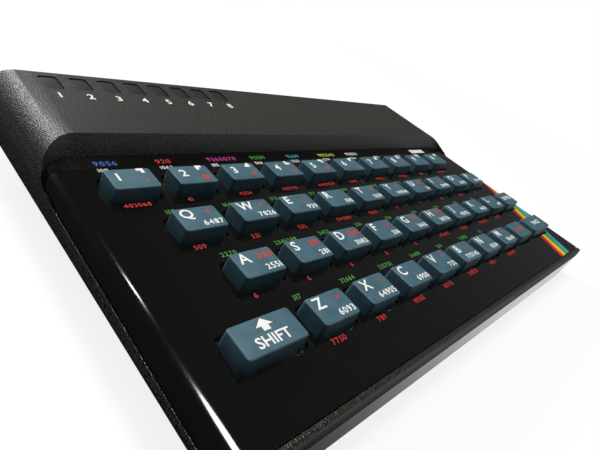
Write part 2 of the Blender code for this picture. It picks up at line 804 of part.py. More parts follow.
def make_upper_case():
    top = boxes_mesh(
        "upper_case",
        [
            (
                (-HALF_WIDTH - OVERRUN, -HALF_DEPTH, PARTING_HEIGHT + PARTING_GAP / 2),
                (HALF_WIDTH + OVERRUN, HALF_DEPTH, CASE_TOP + OVERRUN),
            )
        ],
    )
    case = add_object("upper_case", top, parts)
    keep(case, make_outer_form())
    for i, (corner, before, after) in enumerate(case_corners()):
        outline = corner_waste(corner, before, after, CASE_CORNER_RADIUS)
        name = f"corner_waste_{i}"
        mesh = flat_mesh(name, [outline], -OVERRUN, CASE_TOP + OVERRUN)
        cut(case, add_object(name, mesh, cutters))
    for waste in edge_cutters():
        cut(case, waste)
    cut(case, make_cavity())
    cut(case, make_grooves())
    block, pocket, slot = make_tray()
    join(case, block)
    split = BOSS_SPLIT_HEIGHT + PARTING_GAP / 2
    bosses = [(x, y, UPPER_BOSS_DIAMETER, split, high) for x, y, high in boss_places()]
    pilots = [
        (x, y, SCREW_PILOT_DIAMETER, split - OVERRUN, split + SCREW_PILOT_DEPTH)
        for x, y, _ in boss_places()
    ]
    join(case, add_object("upper_bosses", rods_mesh("upper_bosses", bosses), cutters))
    cut(case, make_plate_recess())
    cut(case, pocket)
    cut(case, slot)
    cut(case, add_object("screw_pilots", rods_mesh("screw_pilots", pilots), cutters))
    cut(case, rear_openings)
    paint(case, "textured_black_abs", (0.02, 0.019, 0.018), 0.6)


def lower_ring(tuck, radius, inset=0):
    """The lower case seen from above at one height: its sides are drawn in by tuck."""
    half = HALF_WIDTH - tuck - inset
    depth = HALF_DEPTH - inset
    return rectangle((-half, -depth), (half, depth), radius, ARC_STEPS)


def make_lower_case():
    """The tray below: upright front and rear walls, and sides that slope in to the underside."""
    top = PARTING_HEIGHT - PARTING_GAP / 2
    rise = PARTING_HEIGHT - UNDERSIDE_HEIGHT
    floor = UNDERSIDE_HEIGHT + FLOOR_THICKNESS

    def tuck_at(height):
        return SIDE_TUCK * (PARTING_HEIGHT - height) / rise

    side_wall = WALL * math.hypot(rise, SIDE_TUCK) / rise
    extra = side_wall - WALL
    low_tuck = tuck_at(UNDERSIDE_HEIGHT + UNDERSIDE_BEVEL)
    outer = loft_mesh(
        "lower_case",
        [
            (lower_ring(SIDE_TUCK, UNDERSIDE_CORNER_RADIUS, UNDERSIDE_BEVEL), UNDERSIDE_HEIGHT),
            (lower_ring(low_tuck, UNDERSIDE_CORNER_RADIUS), UNDERSIDE_HEIGHT + UNDERSIDE_BEVEL),
            (lower_ring(tuck_at(top), CASE_CORNER_RADIUS), top),
        ],
    )
    inner = loft_mesh(
        "lower_cavity",
        [
            (lower_ring(tuck_at(floor) + extra, UNDERSIDE_CORNER_RADIUS - WALL, WALL), floor),
            (lower_ring(extra, CASE_CORNER_RADIUS / 2, WALL), PARTING_HEIGHT),
            (lower_ring(extra, CASE_CORNER_RADIUS / 2, WALL), PARTING_HEIGHT + OVERRUN),
        ],
    )
    case = add_object("lower_case", outer, parts)
    cut(case, add_object("lower_cavity", inner, cutters))
    inside = UNDERSIDE_HEIGHT + FLOOR_THICKNESS / 2
    split = BOSS_SPLIT_HEIGHT - PARTING_GAP / 2
    rods = [(x, y, LOWER_BOSS_DIAMETER, inside, split) for x, y, _ in boss_places()]
    post_top = BOARD_HEIGHT - SEAT_GAP
    rods += [(x, y, BOARD_POST_DIAMETER, inside, post_top) for x, y in board_posts()]
    join(case, add_object("lower_bosses", rods_mesh("lower_bosses", rods), cutters))
    holes = [
        (x, y, SCREW_HOLE_DIAMETER, -OVERRUN, split + OVERRUN) for x, y, _ in boss_places()
    ]
    heads = [
        (x, y, SCREW_HEAD_DIAMETER, -OVERRUN, UNDERSIDE_HEIGHT + SCREW_HEAD_DEPTH)
        for x, y, _ in boss_places()
    ]
    seat = FOOT_DIAMETER + 2 * FOOT_CLEARANCE
    seats = [
        (x, y, seat, -OVERRUN, UNDERSIDE_HEIGHT + FOOT_SEAT_DEPTH) for x, y in foot_places()
    ]
    cut(case, add_object("screw_holes", rods_mesh("screw_holes", holes), cutters))
    cut(case, add_object("screw_heads", rods_mesh("screw_heads", heads), cutters))
    cut(case, add_object("foot_seats", rods_mesh("foot_seats", seats), cutters))
    cut(case, rear_openings)
    paint(case, "smooth_black_abs", (0.025, 0.024, 0.024), 0.25)


# Rear wall


def board_top():
    return BOARD_HEIGHT + BOARD_THICKNESS


def sockets():
    """Each socket as (name, x, width, height)."""
    row = [
        (f"usb_socket_{i + 1}", share * BOARD_HALF_WIDTH, USB_WIDTH, USB_HEIGHT)
        for i, share in enumerate(USB_PLACE_SHARES)
    ]
    hdmi_x = HDMI_PLACE_SHARE * BOARD_HALF_WIDTH
    power_x = POWER_SOCKET_PLACE_SHARE * BOARD_HALF_WIDTH
    row.append(("hdmi_socket", hdmi_x, HDMI_WIDTH, HDMI_HEIGHT))
    row.append(("power_socket", power_x, POWER_SOCKET_WIDTH, POWER_SOCKET_HEIGHT))
    return row


def make_rear_openings():
    """The holes in the rear wall for the sockets and the buttons."""
    base = board_top() + SEAT_GAP
    gap = SOCKET_CLEARANCE
    near = HALF_DEPTH - WALL - OVERRUN / 2
    far = HALF_DEPTH + OVERRUN
    corners = [
        ((x - width / 2 - gap, near, base - gap), (x + width / 2 + gap, far, base + height + gap))
        for _, x, width, height in sockets()
    ]
    openings = add_object("rear_openings", boxes_mesh("rear_openings", corners), cutters)
    hole = BUTTON_DIAMETER + 2 * BUTTON_CLEARANCE
    rods = [(x, BUTTON_HEIGHT, hole, -far, -near) for x in (POWER_BUTTON_X, MENU_BUTTON_X)]
    button_holes = rods_mesh("button_holes", rods, ALONG_Y)
    return join(openings, add_object("button_holes", button_holes, cutters))


def make_socket(name, x, width, height, depth, outline, mouth, mouth_depth, tongue, setback):
    """A metal shell with a mouth to the rear and a flat tongue in it.

    outline and mouth are sections in X and Z; tongue is its lowest and highest corner there.
    """
    face = HALF_DEPTH - SOCKET_SETBACK
    place = (x, 0, board_top() + SEAT_GAP + height / 2)
    shell = add_object(
        name, across_mesh(name, [outline], face - depth, face), parts, None, place
    )
    bottom = face - mouth_depth
    hollow = add_object(
        name + "_mouth",
        across_mesh(name + "_mouth", [mouth], bottom, face + OVERRUN),
        cutters,
        None,
        place,
    )
    low, high = tongue
    core = boxes_mesh(
        name + "_tongue",
        [((low[0], bottom - OVERRUN, low[1]), (high[0], face - setback, high[1]))],
    )
    cut(hollow, add_object(name + "_tongue", core, cutters, None, place))
    cut(shell, hollow)
    paint(shell, name + "_plated_steel", (0.6, 0.6, 0.6), 0.3, 1.0)


def make_usb_sockets():
    half = (USB_WIDTH / 2, USB_HEIGHT / 2)
    inner = (half[0] - USB_SHELL, half[1] - USB_SHELL)
    tongue_top = inner[1] - USB_TONGUE_RISE
    tongue = (
        (-USB_TONGUE_WIDTH / 2, tongue_top - USB_TONGUE_THICKNESS),
        (USB_TONGUE_WIDTH / 2, tongue_top),
    )
    for name, x, width, height in sockets():
        if name.startswith("usb"):
            make_socket(
                name,
                x,
                width,
                height,
                USB_DEPTH,
                rectangle((-half[0], -half[1]), half),
                rectangle((-inner[0], -inner[1]), inner),
                USB_MOUTH_DEPTH,
                tongue,
                USB_TONGUE_SETBACK,
            )


def hdmi_outline(inset):
    """A flat box whose two lower corners are cut off at a slant."""
    half = HDMI_WIDTH / 2 - inset
    high = HDMI_HEIGHT / 2 - inset
    slant = HDMI_CHAMFER
    return rounded(
        [
            (-half, high, 0),
            (-half, slant - high, 0),
            (slant - half, -high, 0),
            (half - slant, -high, 0),
            (half, slant - high, 0),
            (half, high, 0),
        ]
    )


def make_hdmi_socket():
    half = (HDMI_TONGUE_WIDTH / 2, HDMI_TONGUE_THICKNESS / 2)
    make_socket(
        "hdmi_socket",
        HDMI_PLACE_SHARE * BOARD_HALF_WIDTH,
        HDMI_WIDTH,
        HDMI_HEIGHT,
        HDMI_DEPTH,
        hdmi_outline(0),
        hdmi_outline(HDMI_SHELL),
        HDMI_MOUTH_DEPTH,
        ((-half[0], -half[1]), half),
        USB_TONGUE_SETBACK,
    )


def make_power_socket():
    half = (POWER_SOCKET_WIDTH / 2, POWER_SOCKET_HEIGHT / 2)
    inner = (half[0] - POWER_SOCKET_SHELL, half[1] - POWER_SOCKET_SHELL)
    tongue = (POWER_TONGUE_WIDTH / 2, POWER_TONGUE_THICKNESS / 2)
    # The ends are almost half circles: a radius just under half the height keeps the sides
    round_share = 0.95
    make_socket(
        "power_socket",
        POWER_SOCKET_PLACE_SHARE * BOARD_HALF_WIDTH,
        POWER_SOCKET_WIDTH,
        POWER_SOCKET_HEIGHT,
        POWER_SOCKET_DEPTH,
        rectangle((-half[0], -half[1]), half, half[1] * round_share),
        rectangle((-inner[0], -inner[1]), inner, inner[1] * round_share),
        POWER_SOCKET_MOUTH_DEPTH,
        ((-tongue[0], -tongue[1]), tongue),
        USB_TONGUE_SETBACK,
    )


def turned_mesh(name, profile):
    """A round piece from its profile, given as (radius, height) from the axis at the top down."""
    form = bmesh.new()
    points = [form.verts.new((radius, 0, height)) for radius, height in profile]
    for first, second in zip(points, points[1:]):
        form.edges.new((first, second))
    mesh = bpy.data.meshes.new(name)
    form.to_mesh(mesh)
    form.free()
    return mesh


def turn_on_axis(target):
    """Carries the profile once round the local Z axis."""
    screw = target.modifiers.new("turn", "SCREW")
    screw.steps = ROUND_SIDES
    screw.render_steps = ROUND_SIDES
    screw.use_merge_vertices = True
    screw.merge_threshold = WELD_DISTANCE
    screw.use_smooth_shade = True


def make_buttons():
    """Push buttons, round and almost flush, each with a flange inside the wall and a stem."""
    face = HALF_DEPTH - BUTTON_SETBACK
    flange_face = HALF_DEPTH - WALL - SEAT_GAP
    stem_end = switch_face() + SEAT_GAP + BUTTON_TRAVEL
    radius = BUTTON_DIAMETER / 2
    edge = BUTTON_EDGE_RADIUS
    flange = radius + BUTTON_CLEARANCE + BUTTON_FLANGE_WIDTH
    stem = BUTTON_STEM_DIAMETER / 2
    profile = [
        (0, 0),
        (radius - edge, 0),
        (radius - edge * (1 - math.sin(math.pi / 4)), edge * (math.cos(math.pi / 4) - 1)),
        (radius, -edge),
        (radius, flange_face - face),
        (flange, flange_face - face),
        (flange, flange_face - face - BUTTON_FLANGE_THICKNESS),
        (stem, flange_face - face - BUTTON_FLANGE_THICKNESS),
        (stem, stem_end - face),
        (0, stem_end - face),
    ]
    for name, x in (("power_button", POWER_BUTTON_X), ("menu_button", MENU_BUTTON_X)):
        place = (x, face, BUTTON_HEIGHT)
        button = add_object(name, turned_mesh(name, profile), parts, None, place)
        button.rotation_euler = (-math.pi / 2, 0, 0)
        turn_on_axis(button)
        paint(button, name + "_abs", (0.03, 0.03, 0.03), 0.4)


# Main board


def connector_y():
    """World Y of the ribbon's connector: straight under the slot in the tray."""
    return deck_depth(ribbon_slot()[0][1] + RIBBON_SLOT_CLEARANCE, TRAY_BOTTOM)


def board_bounds():
    """The lowest and highest corner of the board, seen from above: from the connector to the rear."""
    front = connector_y() - CONNECTOR_DEPTH / 2 - BOARD_FRONT_MARGIN
    rear = HALF_DEPTH - BOARD_REAR_MARGIN
    return (-BOARD_HALF_WIDTH, front), (BOARD_HALF_WIDTH, rear)


def board_place(shares):
    """A point of the board from its shares of the width and of the depth."""
    low, high = board_bounds()
    return tuple(a + share * (b - a) for a, b, share in zip(low, high, shares))


def processor_place():
    """The processor, far enough forward for its heat sink to clear the USB sockets."""
    share = PROCESSOR_PLACE_SHARE
    y = HALF_DEPTH - SOCKET_SETBACK - USB_DEPTH - SINK_REAR_GAP - SINK_SIZE / 2
    return board_place((share, share))[0], y


def board_posts():
    low, high = board_bounds()
    inset = BOARD_POST_INSET
    return [(x, y) for x in (low[0] + inset, high[0] - inset) for y in (low[1] + inset, high[1] - inset)]


def switch_face():
    """World Y of the plungers of the two switches, at the rear edge of the board."""
    return board_bounds()[1][1]


def make_main_board():
    low, high = board_bounds()
    outline = rectangle(low, high, BOARD_CORNER_RADIUS, HOLE_STEPS)
    mesh = flat_mesh("main_board", [outline], BOARD_HEIGHT, board_top())
    board = add_object("main_board", mesh, parts)
    base = board_top() - SOLDER_OVERLAP

    def chip(place, width, depth, height):
        half = Vector((width, depth)) / 2
        return (
            (place[0] - half.x, place[1] - half.y, base),
            (place[0] + half.x, place[1] + half.y, board_top() + height),
        )

    chips = [chip(processor_place(), PROCESSOR_SIZE, PROCESSOR_SIZE, PROCESSOR_HEIGHT)]
    chips += [chip(board_place(s), CHIP_WIDTH, CHIP_DEPTH, CHIP_HEIGHT) for s in CHIP_PLACE_SHARES]
    chips += [chip(board_place(s), COIL_SIZE, COIL_SIZE, COIL_HEIGHT) for s in COIL_PLACE_SHARES]
    chips.append(chip((0, connector_y()), CONNECTOR_WIDTH, CONNECTOR_DEPTH, CONNECTOR_HEIGHT))
    for x in (POWER_BUTTON_X, MENU_BUTTON_X):
        place = (x, switch_face() - SWITCH_DEPTH / 2)
        chips.append(chip(place, SWITCH_WIDTH, SWITCH_DEPTH, SWITCH_HEIGHT))
    join(board, add_object("board_chips", boxes_mesh("board_chips", chips), cutters))
    paint(board, "green_board", (0.01, 0.12, 0.05), 0.4)


def make_heat_sink():
    """A block on the processor with fins that run front to rear."""
    x, y = processor_place()
    base = board_top() + PROCESSOR_HEIGHT + SEAT_GAP
    half = SINK_SIZE / 2
    pitch = (SINK_SIZE - SINK_FIN_THICKNESS) / (SINK_FIN_COUNT - 1)
    outline = [Vector((x + half, base)), Vector((x - half, base))]
    for i in range(SINK_FIN_COUNT):
        left = x - half + i * pitch
        if i:
            outline.append(Vector((left, base + SINK_BASE)))
        outline.append(Vector((left, base + SINK_HEIGHT)))
        outline.append(Vector((left + SINK_FIN_THICKNESS, base + SINK_HEIGHT)))
        if i < SINK_FIN_COUNT - 1:
            outline.append(Vector((left + SINK_FIN_THICKNESS, base + SINK_BASE)))
    mesh = across_mesh("heat_sink", [outline], y - half, y + half)
    sink = add_object("heat_sink", mesh, parts)
    paint(sink, "anodised_aluminium", (0.1, 0.1, 0.1), 0.45, 1.0)


# Feet


def foot_places():
    x = HALF_WIDTH - FOOT_SIDE_INSET
    y = HALF_DEPTH - FOOT_FRONT_INSET
    return [(-x, -y), (x, -y), (-x, y), (x, y)]


def make_feet():
    top = UNDERSIDE_HEIGHT + FOOT_SEAT_DEPTH - SEAT_GAP
    radius = FOOT_DIAMETER / 2
    edge = FOOT_EDGE_RADIUS
    profile = [(0, top), (radius, top), (radius, edge), (radius - edge, 0), (0, 0)]
    for i, (x, y) in enumerate(foot_places()):
        name = f"foot_{i + 1}"
        foot = add_object(name, turned_mesh(name, profile), parts, None, (x, y, 0))
        turn_on_axis(foot)
        paint(foot, name + "_rubber", (0.02, 0.02, 0.02), 0.8)


for old in list(bpy.data.objects):
    bpy.data.objects.remove(old)
parts = bpy.data.collections.new("home_computer")
cutters = bpy.data.collections.new("cutters")
bpy.context.scene.collection.children.link(parts)
bpy.context.scene.collection.children.link(cutters)
deck = add_object("deck", None, parts, None, (0, -HALF_DEPTH, DECK_FRONT_HEIGHT))
deck.rotation_euler = (TILT, 0, 0)
rear_openings = make_rear_openings()
make_upper_case()
make_lower_case()
make_faceplate()
make_key_mat()
make_membrane()
make_ribbon()
make_keys()
make_main_board()
make_heat_sink()
make_usb_sockets()
make_hdmi_socket()
make_power_socket()
make_buttons()
make_feet()
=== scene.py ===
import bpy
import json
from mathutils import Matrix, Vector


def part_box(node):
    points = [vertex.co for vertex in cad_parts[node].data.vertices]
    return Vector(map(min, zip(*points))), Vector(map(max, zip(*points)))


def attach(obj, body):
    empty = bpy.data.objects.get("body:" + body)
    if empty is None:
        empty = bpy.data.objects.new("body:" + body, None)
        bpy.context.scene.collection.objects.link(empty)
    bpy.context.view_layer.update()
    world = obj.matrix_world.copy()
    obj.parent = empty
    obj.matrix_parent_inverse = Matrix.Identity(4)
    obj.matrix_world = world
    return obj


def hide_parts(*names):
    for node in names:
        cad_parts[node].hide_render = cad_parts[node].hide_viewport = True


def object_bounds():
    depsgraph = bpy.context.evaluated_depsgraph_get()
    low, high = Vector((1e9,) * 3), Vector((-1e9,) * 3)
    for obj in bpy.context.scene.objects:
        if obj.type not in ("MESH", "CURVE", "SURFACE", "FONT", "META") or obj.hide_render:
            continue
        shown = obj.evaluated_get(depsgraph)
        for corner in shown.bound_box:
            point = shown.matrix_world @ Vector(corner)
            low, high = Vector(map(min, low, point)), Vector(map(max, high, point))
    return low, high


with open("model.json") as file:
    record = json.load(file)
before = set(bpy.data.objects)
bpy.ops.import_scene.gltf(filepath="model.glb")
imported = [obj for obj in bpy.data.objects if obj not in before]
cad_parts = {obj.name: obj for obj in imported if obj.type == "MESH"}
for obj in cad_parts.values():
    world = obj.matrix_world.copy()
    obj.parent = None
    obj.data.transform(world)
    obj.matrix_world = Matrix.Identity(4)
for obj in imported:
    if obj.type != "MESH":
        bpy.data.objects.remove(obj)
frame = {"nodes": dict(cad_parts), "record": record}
cad_box = [list(corner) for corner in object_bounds()]

import json
import math

import bmesh
import bpy
import numpy as np
from mathutils import Matrix, Vector

MM = 0.001

# Camera: where the photograph was taken from, in the part's own frame
CAMERA_PLACE = (-0.1545, -0.0905, 0.0914)
CAMERA_LOOK = (0.7129, 0.5053, -0.4862)
CAMERA_UP = (0.1353, 0.5812, 0.8024)
CAMERA_LENS = 27.17
SENSOR_WIDTH = 36.0

# Studio: the room's light and what gloss sees of it, and each pale card's direction, the
# cosine at which it ends, and its brightness
ROOM_LIGHT = (0.075, 0.075, 0.075, 1)
ROOM_GLOSS = (0.05, 0.05, 0.05, 1)
STUDIO_CARDS = (
    ((0.745, -0.65, 0.16), 0.7, 1.0),
    ((0.84, 0.23, 0.49), 0.75, 0.11),
)

# Lamps: name, place, what it points at, width and depth, and power
LAMPS = (
    ("overhead_softbox", (0.02, 0.12, 1.0), (0, 0, 0), (0.32, 0.32), 8),
    ("rear_left_softbox", (-0.2, 0.92, 0.53), (-0.1, 0.03, 0.02), (0.3, 0.22), 8),
    ("high_strip", (0.05, 0.47, 0.76), (-0.11, -0.02, 0.02), (0.1, 0.05), 0.5),
)

# Floor: its half width, how white it is to the camera near the object and the distances over
# which that rises to plain white, and the slanting band behind which gloss sees it unlit
FLOOR_REACH = 30.0
FLOOR_NEAR_WHITE = 0.86
FLOOR_FADE = (0.2, 0.7)
FLOOR_SLANT = -1.5
FLOOR_BAND = (-0.02, 0.17)

# Keyboard deck: its front edge and slope
DECK_FRONT_HEIGHT = 17.4 * MM
DECK_TILT = math.radians(2.5)

# Seam between the case halves, and how far below it its dust starts and is thickest
PARTING_HEIGHT = 13.4 * MM
DUST_START = 0.75 * MM
DUST_THICKEST = 0.45 * MM

# Rounding of the edges of the two case halves
UPPER_EDGE_WIDTH = 0.15 * MM
LOWER_EDGE_WIDTH = 0.12 * MM

# Rubber key caps
KEY_HEIGHT = 4.1 * MM
KEY_FOOT_DEPTH = 2.2 * MM
KEY_SIDE_FLARE = 0.5 * MM
KEY_FLARE_SPAN = 6.3 * MM
KEY_TOP_DEPTH = 9.1 * MM
KEY_TOP_WIDTH = 13.5 * MM
SHIFT_TOP_WIDTH = 18.1 * MM
SPACE_TOP_WIDTH = 21.1 * MM
KEY_CORNER_RADIUS = 0.95 * MM
KEY_EDGE_RADIUS = 0.4 * MM
KEY_CROWN = 0.06 * MM

# Printing: its thickness, and the places of the marks about a key's middle
INK_THICKNESS = 0.04 * MM
MAIN_LEFT = -5.4 * MM
MAIN_BASE = 0.25 * MM
MAIN_HEIGHT = 3.7 * MM
DIGIT_LEFT = -4.3 * MM
DIGIT_BASE = -0.9 * MM
DIGIT_HEIGHT = 3.5 * MM
CODE_RIGHT = 6.0 * MM
CODE_BASE = -3.4 * MM
CODE_HEIGHT = 2.05 * MM
SIGN_MIDDLE = 3.3 * MM
SIGN_BASE = 0.9 * MM
SIGN_HEIGHT = 2.1 * MM
DIGIT_SIGN_MIDDLE = 3.5 * MM
DIGIT_SIGN_BASE = -2.7 * MM
TILE_LOW = (2.4 * MM, 2.1 * MM)
TILE_SIZE = 2.2 * MM
PLATE_WORD_LEFT = -5.1 * MM
GREEN_BASE = 7.65 * MM
RED_BASE = -7.8 * MM
PLATE_WORD_HEIGHT = 1.7 * MM
COLOUR_WORD_BASE = 12.4 * MM
COLOUR_WORD_HEIGHT = 2.3 * MM
LABEL_REACH = 4.5 * MM
LABEL_BASE = 11.9 * MM
LABEL_WIDTH = 14.5 * MM
LABEL_DEPTH = 3.2 * MM
SMALL_WORD_BASE = 9.2 * MM
SMALL_WORD_HEIGHT = 1.7 * MM
SMALL_WORD_DIGITS = 4
FUNCTION_WORD_BASE = -1.0 * MM
FUNCTION_WORD_HEIGHT = 2.4 * MM
SHIFT_WORD_BASE = -3.1 * MM
SHIFT_WORD_HEIGHT = 2.9 * MM
ARROW_BASE = 0.6 * MM
ARROW_OUTLINE_MM = ((-1, 0), (1, 0), (1, 1.3), (2.5, 1.3), (0, 3.4), (-2.5, 1.3), (-1, 1.3))

INK_COLORS = {
    "white": "e6e6e0",
    "red": "c9281f",
    "green": "3f8f35",
    "blue": "2c62ae",
    "magenta": "b02d86",
    "cyan": "2c97a8",
    "yellow": "c6c222",
}

# Raised section at the back, and the row of shallow grooves in its top
RAISED_HEIGHT = 6.3 * MM
GROOVE_COUNT = 8
GROOVE_WIDTH = 6.0 * MM
GROOVE_DEPTH = 9.0 * MM
GROOVE_SINK = 0.6 * MM
GROOVE_RADIUS = 1.2 * MM
GROOVE_PITCH = 9.5 * MM
GROOVE_FIRST_X = -99.5 * MM
GROOVE_Y = 133.8 * MM
GROOVE_NUMBER_DROP = 5.6 * MM
GROOVE_NUMBER_HEIGHT = 3.3 * MM

# Dark film insert of a groove, painted shade in place of the recess's shadow: its gap to the
# groove's side, and its rounded rim as heights over the groove's floor with how far each lies
# inside the widest
INSERT_GAP = 0.1 * MM
INSERT_HEIGHTS_MM = (-0.2, 0.15, 0.25, 0.28)
INSERT_SHRINKS_MM = (0, 0, 0.1, 0.25)

# Diagonal stripes: where the outer edge of the first crosses the front of the deck, and their
# colours between two bands of the plate's own
STRIPE_X = 82.6 * MM
STRIPE_SLOPE = 0.44
STRIPE_WIDTH = 3.25 * MM
STRIPE_BANDS = ("0b0a09", "d8261c", "f2c81e", "3f9a3a", "2f9fc0", "0b0a09")

# Tongues in the sockets: width, thickness, depth, how far the middle lies above the socket's,
# and number of contacts
USB_TONGUE = (11.1 * MM, 1.8 * MM, 8.5 * MM, 1.05 * MM, 4)
HDMI_TONGUE = (11.2 * MM, 1.1 * MM, 7.5 * MM, 0, 9)
POWER_TONGUE = (6.6 * MM, 0.7 * MM, 5.2 * MM, 0, 6)
TONGUE_SETBACK = 0.8 * MM
TONGUE_SKIN = 0.04 * MM
CONTACT_SETBACK = 0.6 * MM
CONTACT_SHARE = 0.44

# Screw heads in the underside
SCREW_X = 98 * MM
SCREW_FRONT_Y = -65.6 * MM
SCREW_REAR_Y = 64.5 * MM
SCREW_RADIUS = 2.9 * MM
SCREW_FACE = 3.0 * MM
SCREW_SEAT = 4.9 * MM
SCREW_DOME = 0.5 * MM
CROSS_DEPTH = 1.1 * MM
CROSS_ARM = 0.42 * MM
CROSS_REACH = 1.75 * MM

KEY_NAMES = (
    tuple("1234567890"),
    tuple("qwertyuiop"),
    (*"asdfghjkl", "enter"),
    ("left_shift", *"zxcvbnm", "symbol_shift", "space"),
)

# How many digits stand for the word at each key, row by row, and 0 where there is none
CODE_DIGITS = ("0000000000", "4433462545", "4343455430", "0454364500")
SIGN_DIGITS = ("0000000000", "0000003200", "4340240000", "0000000000")
ABOVE_DIGITS = ("4849544486", "3333344443", "4743333330", "0356536200")
BELOW_DIGITS = ("6246745536", "3336511231", "1111164740", "0435564700")
COLOUR_WORDS = (
    ("blue", 4), ("red", 3), ("magenta", 7), ("green", 5), ("cyan", 4), ("yellow", 6), ("white", 5)
)


# Colours and shader nodes


def linear(code):
    """An sRGB colour code such as "4a6b78" as linear red, green, blue and alpha."""
    channels = np.array([int(code[i : i + 2], 16) for i in (0, 2, 4)]) / 255
    dark = channels / 12.92
    bright = ((channels + 0.055) / 1.055) ** 2.4
    return (*np.where(channels <= 0.04045, dark, bright), 1.0)


def add_node(tree, kind, links=(), values=(), **settings):
    """A node with its settings, the values of its inputs, and links as (input, output socket)."""
    new = tree.nodes.new("ShaderNode" + kind)
    for name, value in settings.items():
        setattr(new, name, value)
    for name, value in dict(values).items():
        new.inputs[name].default_value = value
    for name, source in dict(links).items():
        tree.links.new(source, new.inputs[name])
    return new


def new_finish(name, color, roughness, metallic=0.0, **values):
    """A material with its Principled shader, as (material, tree, shader)."""
    material = bpy.data.materials.new(name)
    material.use_nodes = True
    tree = material.node_tree
    shader = tree.nodes["Principled BSDF"]
    shader.inputs["Base Color"].default_value = linear(color)
    shader.inputs["Roughness"].default_value = roughness
    shader.inputs["Metallic"].default_value = metallic
    for key, value in values.items():
        shader.inputs[key.replace("_", " ")].default_value = value
    return material, tree, shader


def grain(tree, size, detail=2.0, stretch=(1, 1, 1)):
    """Noise in object coordinates whose grains are about size across."""
    place = add_node(tree, "TexCoord")
    scaled = add_node(tree, "Mapping", {"Vector": place.outputs["Object"]}, {"Scale": stretch})
    return add_node(
        tree, "TexNoise", {"Vector": scaled.outputs["Vector"]}, {"Scale": 1 / size, "Detail": detail}
    )


def bumped(tree, shader, source, depth):
    """Raises the surface by depth where source is 1."""
    bump = add_node(tree, "Bump", {"Height": source}, {"Strength": 1.0, "Distance": depth})
    tree.links.new(bump.outputs["Normal"], shader.inputs["Normal"])


def shaded(tree, shader, source, dark, light, low=0.35, high=0.65):
    """Colours the surface from dark to light as source goes from low to high."""
    ramp = add_node(tree, "ValToRGB", {"Fac": source})
    ramp.color_ramp.elements[0].position = low
    ramp.color_ramp.elements[1].position = high
    ramp.color_ramp.elements[0].color = linear(dark)
    ramp.color_ramp.elements[1].color = linear(light)
    tree.links.new(ramp.outputs["Color"], shader.inputs["Base Color"])


def ranged(tree, source, low, high):
    """source, which runs from 0 to 1, spread from low to high."""
    return add_node(
        tree, "MapRange", {"Value": source}, {"To Min": low, "To Max": high}
    ).outputs["Result"]


def faded(tree, source, low, high):
    """0 where source is at low, 1 where it is at high, and a smooth step between them."""
    return add_node(
        tree, "MapRange", {"Value": source}, {"From Min": low, "From Max": high},
        interpolation_type="SMOOTHSTEP",
    ).outputs["Result"]


# Finishes


def spark_textured_abs():
    """Moulded ABS with a spark-eroded grain: dull charcoal that sparkles where light falls on it.

    The real grain is about 0.15 mm; it is drawn coarser so that it shows. Its pits hide the
    mirror-like gloss that a smooth wall has at a flat angle, so it is rougher there.
    """
    material, tree, shader = new_finish(
        "spark_textured_abs", "25211c", 0.5, Specular_IOR_Level=0.32
    )
    drawn_grain = 0.38 * MM
    fine = grain(tree, drawn_grain, 0.5)
    bumped(tree, shader, fine.outputs["Fac"], 0.15 * MM)
    shaded(tree, shader, fine.outputs["Fac"], "0d0c0a", "322f2a")
    glance = add_node(tree, "LayerWeight", values={"Blend": 0.35})
    pitted = add_node(
        tree, "Math", {0: fine.outputs["Fac"], 2: glance.outputs["Facing"]}, {1: 0.3},
        operation="MULTIPLY_ADD",
    )
    rough = add_node(
        tree, "MapRange", {"Value": pitted.outputs[0]},
        {"From Min": 0.3, "From Max": 1.1, "To Min": 0.27, "To Max": 0.9},
    )
    tree.links.new(rough.outputs["Result"], shader.inputs["Roughness"])
    return material


def painted_shade_film():
    """Matt black film in a shallow recess, darker than the case round it as painted shade of the recess;
    with fine dust-like grain.
    """
    material, tree, shader = new_finish("painted_shade_film", "0c0b0a", 0.6, Specular_IOR_Level=0.3)
    fine = grain(tree, 0.5 * MM, 2.0)
    shaded(tree, shader, fine.outputs["Fac"], "090807", "12110f")
    tree.links.new(ranged(tree, fine.outputs["Fac"], 0.5, 0.7), shader.inputs["Roughness"])
    return material


def polished_abs():
    """Smooth moulded ABS: black, glossy, with the faint waviness of a large flat moulding.

    Dust dulls it just under the seam between the two halves of the case.
    """
    material, tree, shader = new_finish("polished_abs", "100f0e", 0.14, IOR=1.53)
    wave = grain(tree, 14 * MM, 1.0)
    bumped(tree, shader, wave.outputs["Fac"], 0.05 * MM)
    streaks = grain(tree, 5 * MM, 4.0, stretch=(1, 1, 0.2))
    shaded(tree, shader, streaks.outputs["Fac"], "0d0c0b", "141312")
    place = add_node(tree, "TexCoord")
    axes = add_node(tree, "SeparateXYZ", {"Vector": place.outputs["Object"]})
    dust = faded(
        tree, axes.outputs["Z"], PARTING_HEIGHT - DUST_START, PARTING_HEIGHT - DUST_THICKEST
    )
    haze = ranged(tree, streaks.outputs["Fac"], 0.08, 0.24)
    rough = add_node(
        tree, "Math", {0: dust, 2: haze}, {1: 0.8}, operation="MULTIPLY_ADD", use_clamp=True
    )
    tree.links.new(rough.outputs[0], shader.inputs["Roughness"])
    return material


